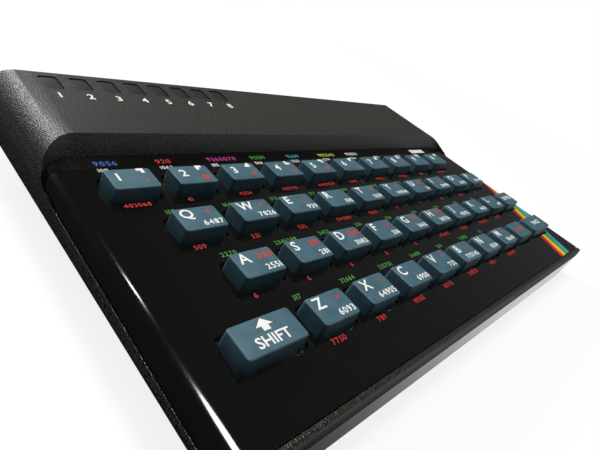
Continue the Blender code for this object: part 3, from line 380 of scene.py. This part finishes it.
def printed_faceplate():
    """Polished acrylic sheet, printed black from behind, with four diagonal stripes.

    A point's band is how far it lies to the right of the slanting line, in stripe widths, and
    one more, because the first band is the plate's own black.
    """
    material, tree, shader = new_finish("printed_faceplate", STRIPE_BANDS[0], 0.09, IOR=1.49)
    place = add_node(tree, "TexCoord")
    axes = add_node(tree, "SeparateXYZ", {"Vector": place.outputs["Object"]})
    front = cad_box[0][1]
    slant = add_node(
        tree, "Math", {0: axes.outputs["Y"]}, {1: -STRIPE_SLOPE, 2: STRIPE_SLOPE * front - STRIPE_X},
        operation="MULTIPLY_ADD",
    )
    across = add_node(tree, "Math", {0: axes.outputs["X"], 1: slant.outputs[0]}, operation="ADD")
    share = 1 / len(STRIPE_BANDS)
    band = add_node(
        tree, "Math", {0: across.outputs[0]}, {1: share / STRIPE_WIDTH, 2: share},
        operation="MULTIPLY_ADD",
    )
    ramp = add_node(tree, "ValToRGB", {"Fac": band.outputs[0]})
    stops = ramp.color_ramp
    stops.interpolation = "CONSTANT"
    while len(stops.elements) < len(STRIPE_BANDS):
        stops.elements.new(0.5)
    for i, (stop, color) in enumerate(zip(stops.elements, STRIPE_BANDS)):
        stop.position = i * share
        stop.color = linear(color)
    tree.links.new(ramp.outputs["Color"], shader.inputs["Base Color"])
    smudge = grain(tree, 18 * MM, 5.0)
    tree.links.new(ranged(tree, smudge.outputs["Fac"], 0.05, 0.14), shader.inputs["Roughness"])
    return material


def moulded_rubber():
    """Blue-grey silicone rubber: matt, with a fine moulded grain and slightly uneven pigment."""
    material, tree, shader = new_finish("moulded_rubber", "3b5c68", 0.5, IOR=1.43)
    pigment = grain(tree, 4 * MM, 3.0)
    shaded(tree, shader, pigment.outputs["Fac"], "375763", "41636f")
    fine = grain(tree, 0.35 * MM, 1.0)
    bumped(tree, shader, fine.outputs["Fac"], 0.015 * MM)
    tree.links.new(ranged(tree, fine.outputs["Fac"], 0.4, 0.6), shader.inputs["Roughness"])
    return material


def screen_ink(name, color):
    """Screen-printed ink: flat, dense colour with a slightly uneven film."""
    material, tree, shader = new_finish("ink_" + name, color, 0.5)
    film = grain(tree, 0.8 * MM, 2.0)
    tree.links.new(ranged(tree, film.outputs["Fac"], 0.42, 0.6), shader.inputs["Roughness"])
    bumped(tree, shader, film.outputs["Fac"], 0.01 * MM)
    return material


def foot_rubber():
    """Black rubber with a sandy moulded surface."""
    material, tree, shader = new_finish("foot_rubber", "141414", 0.85)
    fine = grain(tree, 0.5 * MM, 2.0)
    bumped(tree, shader, fine.outputs["Fac"], 0.06 * MM)
    shaded(tree, shader, fine.outputs["Fac"], "101010", "1c1c1c")
    return material


def plated_steel():
    """Nickel-plated sheet steel: bright grey with faint rolling lines along its length."""
    material, tree, shader = new_finish("plated_steel", "b9b7b0", 0.3, 1.0)
    lines = grain(tree, 0.6 * MM, 3.0, stretch=(1, 0.08, 1))
    tree.links.new(ranged(tree, lines.outputs["Fac"], 0.2, 0.42), shader.inputs["Roughness"])
    bumped(tree, shader, lines.outputs["Fac"], 0.01 * MM)
    return material


def zinc_plated_steel():
    """Zinc-plated screw steel: dull silver with uneven sheen."""
    material, tree, shader = new_finish("zinc_plated_steel", "8f9294", 0.35, 1.0)
    spots = grain(tree, 0.5 * MM, 3.0)
    tree.links.new(ranged(tree, spots.outputs["Fac"], 0.25, 0.5), shader.inputs["Roughness"])
    bumped(tree, shader, spots.outputs["Fac"], 0.02 * MM)
    return material


def gold_flash():
    """Thin gold plating on a contact: yellow, smooth."""
    material, tree, shader = new_finish("gold_flash", "d9a441", 0.25, 1.0)
    spots = grain(tree, 0.4 * MM, 2.0)
    tree.links.new(ranged(tree, spots.outputs["Fac"], 0.18, 0.34), shader.inputs["Roughness"])
    return material


def tongue_plastic():
    """Glass-filled nylon: dull black with pale flecks of fibre."""
    material, tree, shader = new_finish("tongue_plastic", "17171a", 0.5)
    flecks = grain(tree, 0.25 * MM, 2.0, stretch=(1, 0.3, 1))
    shaded(tree, shader, flecks.outputs["Fac"], "141417", "26262a", low=0.5, high=0.75)
    bumped(tree, shader, flecks.outputs["Fac"], 0.01 * MM)
    return material


def button_abs():
    """Moulded ABS with a fine matt face, worn a little smoother where fingers press."""
    material, tree, shader = new_finish("button_abs", "1b1a19", 0.45)
    fine = grain(tree, 0.3 * MM, 2.0)
    tree.links.new(ranged(tree, fine.outputs["Fac"], 0.3, 0.55), shader.inputs["Roughness"])
    bumped(tree, shader, fine.outputs["Fac"], 0.03 * MM)
    return material


def solder_mask():
    """Green solder mask on glass fibre: glossy, with the weave showing faintly."""
    material, tree, shader = new_finish("solder_mask", "0f4a2a", 0.3)
    weave = grain(tree, 0.7 * MM, 1.0, stretch=(1, 0.2, 1))
    shaded(tree, shader, weave.outputs["Fac"], "0c3f23", "145833")
    bumped(tree, shader, weave.outputs["Fac"], 0.01 * MM)
    return material


def anodised_aluminium():
    """Black anodised extrusion with fine drawing lines along its fins."""
    material, tree, shader = new_finish("anodised_aluminium", "2a2a2c", 0.4, 1.0)
    lines = grain(tree, 0.3 * MM, 2.0, stretch=(1, 0.05, 1))
    tree.links.new(ranged(tree, lines.outputs["Fac"], 0.3, 0.55), shader.inputs["Roughness"])
    bumped(tree, shader, lines.outputs["Fac"], 0.01 * MM)
    return material


def contact_film():
    """Polyester sheet with dark printed tracks about 2 mm apart."""
    material, tree, shader = new_finish("contact_film", "b8bba8", 0.3)
    place = add_node(tree, "TexCoord")
    tracks = add_node(
        tree, "TexWave", {"Vector": place.outputs["Object"]}, {"Scale": 0.05 / MM, "Distortion": 0.6}
    )
    shaded(tree, shader, tracks.outputs["Fac"], "5d5f58", "b8bba8", low=0.08, high=0.14)
    return material


def ribbon_film():
    """Amber polyimide ribbon with copper tracks 1 mm apart along it."""
    material, tree, shader = new_finish("ribbon_film", "8a5116", 0.35)
    place = add_node(tree, "TexCoord")
    tracks = add_node(tree, "TexWave", {"Vector": place.outputs["Object"]}, {"Scale": 0.1 / MM})
    shaded(tree, shader, tracks.outputs["Fac"], "8a5116", "b5642c", low=0.45, high=0.55)
    return material


# Meshes


DECK = Matrix.Translation((0, cad_box[0][1], DECK_FRONT_HEIGHT)) @ Matrix.Rotation(DECK_TILT, 4, "X")


def on_deck(points):
    """Points of the deck's own frame in the part's frame."""
    turned = np.array(DECK.to_3x3())
    return np.asarray(points) @ turned.T + np.array(DECK.translation)


def add_piece(name, points, faces, finishes, body, face_finishes=None, smooth_angle=None):
    """A mesh piece made from whole arrays, riding on a body."""
    mesh = bpy.data.meshes.new(name)
    mesh.from_pydata(np.asarray(points).tolist(), [], [tuple(face) for face in faces])
    for finish in finishes:
        mesh.materials.append(finish)
    if face_finishes is not None:
        mesh.polygons.foreach_set("material_index", np.asarray(face_finishes, dtype=np.int32))
    if smooth_angle is not None:
        mesh.shade_smooth()
        mesh.set_sharp_from_angle(angle=math.radians(smooth_angle))
    mesh.update()
    piece = bpy.data.objects.new(name, mesh)
    bpy.context.scene.collection.objects.link(piece)
    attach(piece, body)
    return piece


def dressed_copy(node, finish, edge=0.0, angle=35):
    """A welded copy of a CAD node, smoothly shaded, with its sharp edges rounded by edge."""
    source = frame["nodes"][node]
    form = bmesh.new()
    form.from_mesh(source.data)
    bmesh.ops.remove_doubles(form, verts=form.verts, dist=0.002 * MM)
    bmesh.ops.dissolve_limit(
        form, angle_limit=math.radians(0.3), verts=form.verts, edges=form.edges
    )
    mesh = bpy.data.meshes.new(node + "_skin")
    form.to_mesh(mesh)
    form.free()
    mesh.materials.clear()
    mesh.materials.append(finish)
    mesh.shade_smooth()
    mesh.set_sharp_from_angle(angle=math.radians(angle))
    piece = bpy.data.objects.new(node + "_skin", mesh)
    bpy.context.scene.collection.objects.link(piece)
    if edge:
        bevel = piece.modifiers.new("edge", "BEVEL")
        bevel.width = edge
        bevel.segments = 2
        bevel.limit_method = "ANGLE"
        bevel.angle_limit = math.radians(angle)
        bevel.harden_normals = False
    weights = piece.modifiers.new("even_shading", "WEIGHTED_NORMAL")
    weights.keep_sharp = not edge
    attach(piece, frame_body(node))
    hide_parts(node)
    return piece


def frame_body(node):
    """The name of the body that holds a CAD node."""
    for body, members in frame["record"]["behaviour"]["bodies"].items():
        if node in members:
            return body
    return None


# Key caps


def rounded_rings(half_widths, half_depths, radii, heights, corner_steps=7):
    """Rounded rectangles one above another, as an array (ring, point, xyz).

    Each corner is a quarter circle about a centre that lies its radius inside both sides.
    """
    turn = np.linspace(0, math.pi / 2, corner_steps + 1)
    angles = np.concatenate([turn + quarter * math.pi / 2 for quarter in range(4)])
    right = np.repeat([1, -1, -1, 1], corner_steps + 1)
    back = np.repeat([1, 1, -1, -1], corner_steps + 1)
    sizes = (half_widths, half_depths, radii, heights)
    width, depth, radius, z = (np.asarray(size, dtype=float)[:, None] for size in sizes)
    x = right * (width - radius) + radius * np.cos(angles)
    y = back * (depth - radius) + radius * np.sin(angles)
    return np.stack([x, y, np.broadcast_to(z, x.shape)], axis=2)


def closed_rings(rings):
    """Faces between rings of equally many points, closed by a face at each end."""
    count, around = rings.shape[:2]
    index = np.arange(count * around).reshape(count, around)
    ahead = np.roll(index, -1, axis=1)
    sides = np.stack([index[:-1], ahead[:-1], ahead[1:], index[1:]], axis=2).reshape(-1, 4)
    return sides.tolist() + [index[0][::-1].tolist(), index[-1].tolist()]


def key_profile(top_width):
    """Half sizes, corner radii and heights of a cap's rings, from its foot to its crown.

    The side leans in evenly, a quarter circle turns it into the top, and the top rises to
    its crown as a parabola.
    """
    side_heights = np.linspace(-KEY_FOOT_DEPTH, KEY_HEIGHT - KEY_CROWN - KEY_EDGE_RADIUS, 6)
    lean = KEY_SIDE_FLARE * (KEY_HEIGHT - side_heights) / KEY_FLARE_SPAN
    turn = np.linspace(0, math.pi / 2, 7)[1:]
    inset = KEY_EDGE_RADIUS * (1 - np.cos(turn))
    edge_heights = KEY_HEIGHT - KEY_CROWN - KEY_EDGE_RADIUS * (1 - np.sin(turn))
    edge_lean = lean[-1] - inset
    shares = np.linspace(1, 0.12, 6)[1:]
    flat_half = KEY_TOP_DEPTH / 2 + edge_lean[-1]
    crown_lean = -(1 - shares) * flat_half + edge_lean[-1]
    crown_heights = KEY_HEIGHT - KEY_CROWN * shares**2
    leans = np.concatenate([lean, edge_lean, crown_lean])
    heights = np.concatenate([side_heights, edge_heights, crown_heights])
    half_depths = KEY_TOP_DEPTH / 2 + leans
    half_widths = top_width / 2 + leans
    radii = np.clip(KEY_CORNER_RADIUS + leans, 0.3 * KEY_CORNER_RADIUS, None)
    radii = np.minimum(radii, 0.9 * half_depths)
    return half_widths, half_depths, radii, heights


def key_widths(name):
    """The width of a key's top."""
    return {"left_shift": SHIFT_TOP_WIDTH, "space": SPACE_TOP_WIDTH}.get(name, KEY_TOP_WIDTH)


def key_place(name):
    """The middle of a key in the deck's frame: across it, and up its slope."""
    low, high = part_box("key_" + name)
    middle = DECK.inverted() @ ((low + high) / 2)
    return middle.x, middle.y


def make_cap(name, finish):
    x, y = key_place(name)
    rings = rounded_rings(*key_profile(key_widths(name)))
    points = rings.reshape(-1, 3) + (x, y, 0)
    body = "key_" + name
    cap = add_piece(body + "_cap", on_deck(points), closed_rings(rings), [finish], body, smooth_angle=60)
    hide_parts(body)
    return cap


# Printing

# Letters in font units: height of a capital, how much the strokes are thickened, curve steps
# and merging distance; and the gap between letters as a share of their height
CAPITAL_HEIGHT = 0.73
LETTER_WEIGHT = 0.018
LETTER_STEPS = 3
LETTER_MERGE = 0.001
LETTER_GAP = 0.17
SIGNS = "!@#$%&'()_<>+-=^/?:;"

glyphs = {}


def glyph(text):
    """A character or word as solid letters one unit high and thick: points, faces and width."""
    if text not in glyphs:
        curve = bpy.data.curves.new("letters", "FONT")
        curve.body = text
        curve.resolution_u = LETTER_STEPS
        curve.extrude = 0.5
        curve.offset = LETTER_WEIGHT
        letters = bpy.data.objects.new("letters", curve)
        bpy.context.scene.collection.objects.link(letters)
        graph = bpy.context.evaluated_depsgraph_get()
        mesh = bpy.data.meshes.new_from_object(letters.evaluated_get(graph))
        form = bmesh.new()
        form.from_mesh(mesh)
        bmesh.ops.remove_doubles(form, verts=form.verts, dist=LETTER_MERGE)
        bmesh.ops.recalc_face_normals(form, faces=form.faces)
        form.verts.index_update()
        points = np.array([vertex.co for vertex in form.verts])
        faces = [[vertex.index for vertex in face.verts] for face in form.faces]
        form.free()
        bpy.data.objects.remove(letters)
        bpy.data.meshes.remove(mesh)
        bpy.data.curves.remove(curve)
        points[:, 0] -= points[:, 0].min()
        points[:, :2] /= CAPITAL_HEIGHT
        glyphs[text] = (points, faces, points[:, 0].max())
    return glyphs[text]


class Print:
    """Marks on one surface, gathered into one piece with an ink for each colour."""

    def __init__(self, level):
        self.level = level
        self.points = []
        self.faces = []
        self.inks = []
        self.face_inks = []

    def add(self, points, faces, ink):
        start = sum(len(p) for p in self.points)
        self.points.append(points)
        self.faces += [[i + start for i in face] for face in faces]
        if ink not in self.inks:
            self.inks.append(ink)
        self.face_inks += [self.inks.index(ink)] * len(faces)

    def word(self, text, x, y, height, ink, align="left", whole=False):
        """Letters on the line y. x is their left end, their middle or their right end."""
        parts = [glyph(text)] if whole else [glyph(character) for character in text]
        width = sum(part[2] for part in parts) + LETTER_GAP * (len(parts) - 1)
        start = x - height * width * {"left": 0, "middle": 0.5, "right": 1}[align]
        for points, faces, part_width in parts:
            placed = np.array(points)
            placed[:, 0] = placed[:, 0] * height + start
            placed[:, 1] = placed[:, 1] * height + y
            placed[:, 2] = placed[:, 2] * INK_THICKNESS + self.level
            self.add(placed, faces, ink)
            start += height * (part_width + LETTER_GAP)

    def shape(self, outline, ink):
        """A flat outline, walked anticlockwise, made solid."""
        low = np.column_stack([outline, np.full(len(outline), self.level - INK_THICKNESS / 2)])
        rings = np.stack([low, low + (0, 0, INK_THICKNESS)])
        self.add(rings.reshape(-1, 3), closed_rings(rings), ink)

    def finish(self, name, body):
        points = on_deck(np.concatenate(self.points))
        return add_piece(name, points, self.faces, self.inks, body, self.face_inks)


def digits(count, order):
    """A plain number of count digits that differs from key to key: the first of a square."""
    spread = 7919
    first = 1357
    return str((order * spread + first) ** 2)[:count]


def print_tile(marks, x, y, order, ink):
    """A white square that lacks one of its quarters, a different one from key to key."""
    half = TILE_SIZE / 2
    corners = np.array([(-1, -1), (1, -1), (1, 0), (0, 0), (0, 1), (-1, 1)]) * half
    turn = Matrix.Rotation(math.radians(90) * (2, 3, 1, 0)[order % 4], 2)
    middle = (x + TILE_LOW[0] + half, y + TILE_LOW[1] + half)
    marks.shape(corners @ np.array(turn).T + middle, ink)


def print_key(name, row, column, inks):
    """The marks on one cap: its character, a red sign, and a plain number for its second use."""
    x, y = key_place(name)
    order = 10 * row + column
    marks = Print(KEY_HEIGHT + INK_THICKNESS / 4)
    white = inks["white"]
    red = inks["red"]
    sign_count = int(SIGN_DIGITS[row][column])
    sign = digits(sign_count, order) if sign_count else SIGNS[order % len(SIGNS)]
    if name == "left_shift":
        marks.word("SHIFT", x, y + SHIFT_WORD_BASE, SHIFT_WORD_HEIGHT, white, "middle", whole=True)
        marks.shape(np.array(ARROW_OUTLINE_MM) * MM + (x, y + ARROW_BASE), white)
    elif name in ("symbol_shift", "enter", "space"):
        word, ink = ("SHIFT", red) if name == "symbol_shift" else (name.upper(), white)
        base = y + FUNCTION_WORD_BASE
        marks.word(word, x, base, FUNCTION_WORD_HEIGHT, ink, "middle", whole=True)
    elif name.isdigit():
        marks.word(name, x + DIGIT_LEFT, y + DIGIT_BASE, DIGIT_HEIGHT, white)
        marks.word(sign, x + DIGIT_SIGN_MIDDLE, y + DIGIT_SIGN_BASE, SIGN_HEIGHT, red, "middle")
        print_tile(marks, x, y, column, white)
    else:
        marks.word(name.upper(), x + MAIN_LEFT, y + MAIN_BASE, MAIN_HEIGHT, white)
        marks.word(sign, x + SIGN_MIDDLE, y + SIGN_BASE, SIGN_HEIGHT, red, "middle")
        code = digits(int(CODE_DIGITS[row][column]), order)
        marks.word(code, x + CODE_RIGHT, y + CODE_BASE, CODE_HEIGHT, white, "right")
    printed = marks.finish(f"key_{name}_print", "key_" + name)


def print_plate(inks):
    """The numbers printed round the keys, in the colours of the words that stand there."""
    marks = Print(INK_THICKNESS / 4)
    for row, names in enumerate(KEY_NAMES):
        for column, name in enumerate(names):
            order = 40 + 10 * row + column
            x, y = key_place(name)
            left = x + PLATE_WORD_LEFT
            above = digits(int(ABOVE_DIGITS[row][column]), order)
            below = digits(int(BELOW_DIGITS[row][column]), order + 40)
            if row == 0:
                short = above[:SMALL_WORD_DIGITS]
                marks.word(short, left, y + SMALL_WORD_BASE, SMALL_WORD_HEIGHT, inks["white"])
            elif above:
                marks.word(above, left, y + GREEN_BASE, PLATE_WORD_HEIGHT, inks["green"])
            if below:
                marks.word(below, left, y + RED_BASE, PLATE_WORD_HEIGHT, inks["red"])
            if row == 0 and column < len(COLOUR_WORDS):
                color, count = COLOUR_WORDS[column]
                word = digits(count, order + 80)
                marks.word(word, left, y + COLOUR_WORD_BASE, COLOUR_WORD_HEIGHT, inks[color])
            if name == "0":
                corners = np.array([(0, 0), (1, 0), (1, 1), (0, 1)]) * (LABEL_WIDTH, LABEL_DEPTH)
                marks.shape(corners + (x - LABEL_REACH, y + LABEL_BASE), inks["white"])
    printed = marks.finish("faceplate_print", "case")


def dress_grooves(finish, inks):
    """A dark film insert in the floor of each groove of the raised section, painted shade of the recess,
    and its number below.
    """
    numbers = Print(RAISED_HEIGHT + INK_THICKNESS / 4)
    number_base = GROOVE_Y - GROOVE_DEPTH / 2 - GROOVE_NUMBER_DROP
    shrink = np.array(INSERT_SHRINKS_MM) * MM
    half_widths = GROOVE_WIDTH / 2 - INSERT_GAP - shrink
    half_depths = GROOVE_DEPTH / 2 - INSERT_GAP - shrink
    heights = RAISED_HEIGHT - GROOVE_SINK + np.array(INSERT_HEIGHTS_MM) * MM
    rings = rounded_rings(half_widths, half_depths, GROOVE_RADIUS - shrink, heights)
    for i in range(GROOVE_COUNT):
        x = GROOVE_FIRST_X + i * GROOVE_PITCH
        points = rings.reshape(-1, 3) + (x, GROOVE_Y, 0)
        # Each insert is a dark sheet painted as the shade in its groove.
        insert = add_piece(
            f"groove_shade_insert_{i + 1}", on_deck(points), closed_rings(rings), [finish], "case",
            smooth_angle=50,
        )
        numbers.word(str(i + 1), x, number_base, GROOVE_NUMBER_HEIGHT, inks["white"], "middle")
    numbers.finish("groove_numbers", "case")


# Rear wall and underside


def box_shell(low, high):
    """Points and faces of a box between two corners."""
    xs, ys, zs = zip(low, high)
    corners = np.array([(x, y, z) for z in zs for y in ys for x in xs])
    faces = [(0, 2, 3, 1), (4, 5, 7, 6), (0, 1, 5, 4), (2, 6, 7, 3), (0, 4, 6, 2), (1, 3, 7, 5)]
    return corners, faces


def make_tongue(node, size, finishes):
    """A plastic tongue drawn over the one in a socket, with its row of gold contacts below."""
    width, thickness, depth, rise, contacts = size
    low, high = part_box(node)
    x = (low.x + high.x) / 2
    z = (low.z + high.z) / 2 + rise
    near = high.y - TONGUE_SETBACK
    bottom = z - thickness / 2
    tongue = box_shell(
        (x - width / 2 - TONGUE_SKIN, near - depth, bottom - TONGUE_SKIN),
        (x + width / 2 + TONGUE_SKIN, near + TONGUE_SKIN, bottom + thickness + TONGUE_SKIN),
    )
    pitch = width / contacts
    half = pitch * CONTACT_SHARE / 2
    strips = [
        box_shell(
            (middle - half, near - depth, bottom - 3 * TONGUE_SKIN),
            (middle + half, near - CONTACT_SETBACK, bottom + TONGUE_SKIN),
        )
        for middle in x - width / 2 + (np.arange(contacts) + 0.5) * pitch
    ]
    corners, sides = (np.array(part) for part in zip(tongue, *strips))
    starts = np.arange(contacts + 1) * corners.shape[1]
    faces = (sides + starts[:, None, None]).reshape(-1, 4)
    face_finishes = np.repeat([0] + [1] * contacts, sides.shape[1])
    piece = add_piece(
        node + "_tongue", corners.reshape(-1, 3), faces.tolist(), finishes, "case", face_finishes
    )


def make_screw(number, x, y, finish):
    """A countersunk head seen from below: a shallow dome with a cross driven into it.

    The face's height is a function of the distance from the axis and of the angle: a dome
    that falls with the square of the distance, and the cross's depth more where the point
    lies in the cross.
    """
    rings = 14
    around = 48
    radius = SCREW_RADIUS * np.linspace(0, 1, rings + 1)[1:, None]
    angle = np.linspace(0, 2 * math.pi, around, endpoint=False)[None, :]
    across = radius * np.cos(angle)
    along = radius * np.sin(angle)
    in_cross = (np.minimum(abs(across), abs(along)) < CROSS_ARM) & (radius < CROSS_REACH)
    height = SCREW_FACE + SCREW_DOME * (radius / SCREW_RADIUS) ** 2 + CROSS_DEPTH * in_cross
    top = np.stack([across, along, height], axis=2).reshape(-1, 3)
    centre = np.array([[0, 0, SCREW_FACE + CROSS_DEPTH]])
    rim = np.stack([across[-1], along[-1], np.full(around, SCREW_SEAT)], axis=1)
    points = np.concatenate([centre, top, rim]) + (x, y, 0)
    index = 1 + np.arange((rings + 1) * around).reshape(rings + 1, around)
    ahead = np.roll(index, -1, axis=1)
    faces = [(0, b, a) for a, b in zip(index[0].tolist(), ahead[0].tolist())]
    sides = np.stack([index[:-1], ahead[:-1], ahead[1:], index[1:]], axis=2).reshape(-1, 4)
    faces += sides.tolist() + [index[-1].tolist()]
    screw = add_piece(f"case_screw_{number}", points, faces, [finish], "case", smooth_angle=40)


# Making it all


def make_camera():
    look = Vector(CAMERA_LOOK).normalized()
    up = Vector(CAMERA_UP)
    up = (up - look * up.dot(look)).normalized()
    side = look.cross(up)
    data = bpy.data.cameras.new("camera")
    data.lens = CAMERA_LENS
    data.sensor_width = SENSOR_WIDTH
    data.clip_start = 0.005
    camera = bpy.data.objects.new("camera", data)
    turned = Matrix((side, up, -look)).transposed().to_4x4()
    camera.matrix_world = Matrix.Translation(CAMERA_PLACE) @ turned
    bpy.context.scene.collection.objects.link(camera)
    bpy.context.scene.camera = camera


def pale_floor():
    """Matt pale floor, white to the camera, where only the object's shadow stays on it.

    Glossy surfaces see it white in front and to the right, and unlit behind the left end. It is
    clear from below, so that the underside can be looked at.
    """
    material, tree, shader = new_finish("pale_floor", "f4f4f2", 0.9, Specular_IOR_Level=0.0)
    place = add_node(tree, "TexCoord").outputs["Object"]
    axes = add_node(tree, "SeparateXYZ", {"Vector": place})
    away = add_node(tree, "VectorMath", {0: place}, operation="LENGTH")
    far = faded(tree, away.outputs["Value"], *FLOOR_FADE)
    across = add_node(
        tree, "Math", {0: axes.outputs["Y"], 2: axes.outputs["X"]}, {1: FLOOR_SLANT},
        operation="MULTIPLY_ADD",
    )
    front = faded(tree, across.outputs[0], *FLOOR_BAND)
    rays = add_node(tree, "LightPath")
    seen = add_node(
        tree, "Math", {0: rays.outputs["Is Camera Ray"], 1: ranged(tree, far, FLOOR_NEAR_WHITE, 1.0)},
        operation="MULTIPLY",
    )
    mirrored = add_node(
        tree, "Math", {0: rays.outputs["Is Glossy Ray"], 1: front}, operation="MULTIPLY"
    )
    share = add_node(
        tree, "Math", {0: seen.outputs[0], 1: mirrored.outputs[0]}, operation="MAXIMUM"
    )
    white = add_node(tree, "Emission", values={"Color": linear("ffffff"), "Strength": 1.0})
    unlit = add_node(tree, "Emission", values={"Color": linear("0c0c0c"), "Strength": 1.0})
    lit_part = add_node(
        tree, "MixShader",
        {0: rays.outputs["Is Glossy Ray"], 1: shader.outputs["BSDF"], 2: unlit.outputs["Emission"]},
    )
    mixed = add_node(
        tree, "MixShader",
        {0: share.outputs[0], 1: lit_part.outputs[0], 2: white.outputs["Emission"]},
    )
    side = add_node(tree, "NewGeometry")
    clear = add_node(tree, "BsdfTransparent")
    one_sided = add_node(
        tree, "MixShader",
        {0: side.outputs["Backfacing"], 1: mixed.outputs[0], 2: clear.outputs["BSDF"]},
    )
    tree.links.new(one_sided.outputs[0], tree.nodes["Material Output"].inputs["Surface"])
    return material


def make_floor():
    mesh = bpy.data.meshes.new("floor")
    corners = np.array([(-1, -1, 0), (1, -1, 0), (1, 1, 0), (-1, 1, 0)]) * FLOOR_REACH
    mesh.from_pydata(corners.tolist(), [], [(0, 1, 2, 3)])
    mesh.materials.append(pale_floor())
    floor = bpy.data.objects.new("floor", mesh)
    bpy.context.scene.collection.objects.link(floor)


def make_world():
    """White to the camera. To the object it is a dim studio with two pale cards at its right."""
    world = bpy.data.worlds.new("studio")
    bpy.context.scene.world = world
    world.use_nodes = True
    tree = world.node_tree
    place = add_node(tree, "TexCoord").outputs["Generated"]
    rays = add_node(tree, "LightPath")
    room = add_node(tree, "MixRGB", {0: rays.outputs["Is Glossy Ray"]}, {1: ROOM_LIGHT, 2: ROOM_GLOSS})
    for direction, width, brightness in STUDIO_CARDS:
        toward = add_node(
            tree, "VectorMath", {0: place}, {1: direction}, operation="DOT_PRODUCT"
        )
        card = faded(tree, toward.outputs["Value"], width, 1.0)
        mirrored = add_node(
            tree, "Math", {0: card, 1: rays.outputs["Is Glossy Ray"]}, operation="MULTIPLY"
        )
        room = add_node(
            tree, "MixRGB", {0: mirrored.outputs[0], 1: room.outputs[0]}, {2: (*[brightness] * 3, 1)}
        )
    mix = add_node(
        tree, "MixRGB", {0: rays.outputs["Is Camera Ray"], 1: room.outputs[0]}, {2: (1, 1, 1, 1)}
    )
    tree.links.new(mix.outputs[0], tree.nodes["Background"].inputs["Color"])


def make_lamp(name, place, target, size, power):
    data = bpy.data.lights.new(name, "AREA")
    data.shape = "ELLIPSE"
    data.size, data.size_y = size
    data.energy = power
    lamp = bpy.data.objects.new(name, data)
    lamp.location = place
    aim = Vector(target) - Vector(place)
    lamp.rotation_euler = aim.to_track_quat("-Z", "Y").to_euler()
    bpy.context.scene.collection.objects.link(lamp)


def make_case():
    upper = dressed_copy("upper_case", spark_textured_abs(), edge=UPPER_EDGE_WIDTH, angle=40)
    lower = dressed_copy("lower_case", polished_abs(), edge=LOWER_EDGE_WIDTH, angle=40)
    dressed_copy("faceplate", printed_faceplate(), angle=40)


def make_keyboard():
    rubber = moulded_rubber()
    inks = {name: screen_ink(name, color) for name, color in INK_COLORS.items()}
    for row, names in enumerate(KEY_NAMES):
        for column, name in enumerate(names):
            make_cap(name, rubber)
            print_key(name, row, column, inks)
    print_plate(inks)
    # The groove inserts are dark film: painted shade in the recesses.
    dress_grooves(painted_shade_film(), inks)


def make_rear_and_underside():
    steel = plated_steel()
    tongue_finishes = [tongue_plastic(), gold_flash()]
    sockets = [(f"usb_socket_{i + 1}", USB_TONGUE) for i in range(4)]
    sockets += [("hdmi_socket", HDMI_TONGUE), ("power_socket", POWER_TONGUE)]
    for node, tongue in sockets:
        dressed_copy(node, steel)
        make_tongue(node, tongue, tongue_finishes)
    button = button_abs()
    for node in ("power_button", "menu_button"):
        dressed_copy(node, button)
    rubber = foot_rubber()
    for i in range(4):
        dressed_copy(f"foot_{i + 1}", rubber)
    zinc = zinc_plated_steel()
    places = [(x, y) for x in (-SCREW_X, SCREW_X) for y in (SCREW_FRONT_Y, SCREW_REAR_Y)]
    for number, (x, y) in enumerate(places, 1):
        make_screw(number, x, y, zinc)


def dress_inner_pieces():
    """The pieces inside the case keep their solids and get their own finishes."""
    for node, finish in (
        ("main_board", solder_mask()),
        ("heat_sink", anodised_aluminium()),
        ("keyboard_membrane", contact_film()),
        ("keyboard_ribbon", ribbon_film()),
        ("key_mat", moulded_rubber()),
    ):
        mesh = frame["nodes"][node].data
        mesh.materials.clear()
        mesh.materials.append(finish)


bpy.context.scene.view_settings.view_transform = "Standard"
make_camera()
make_floor()
make_world()
for lamp in LAMPS:
    make_lamp(*lamp)
make_case()
make_keyboard()
make_rear_and_underside()
dress_inner_pieces()
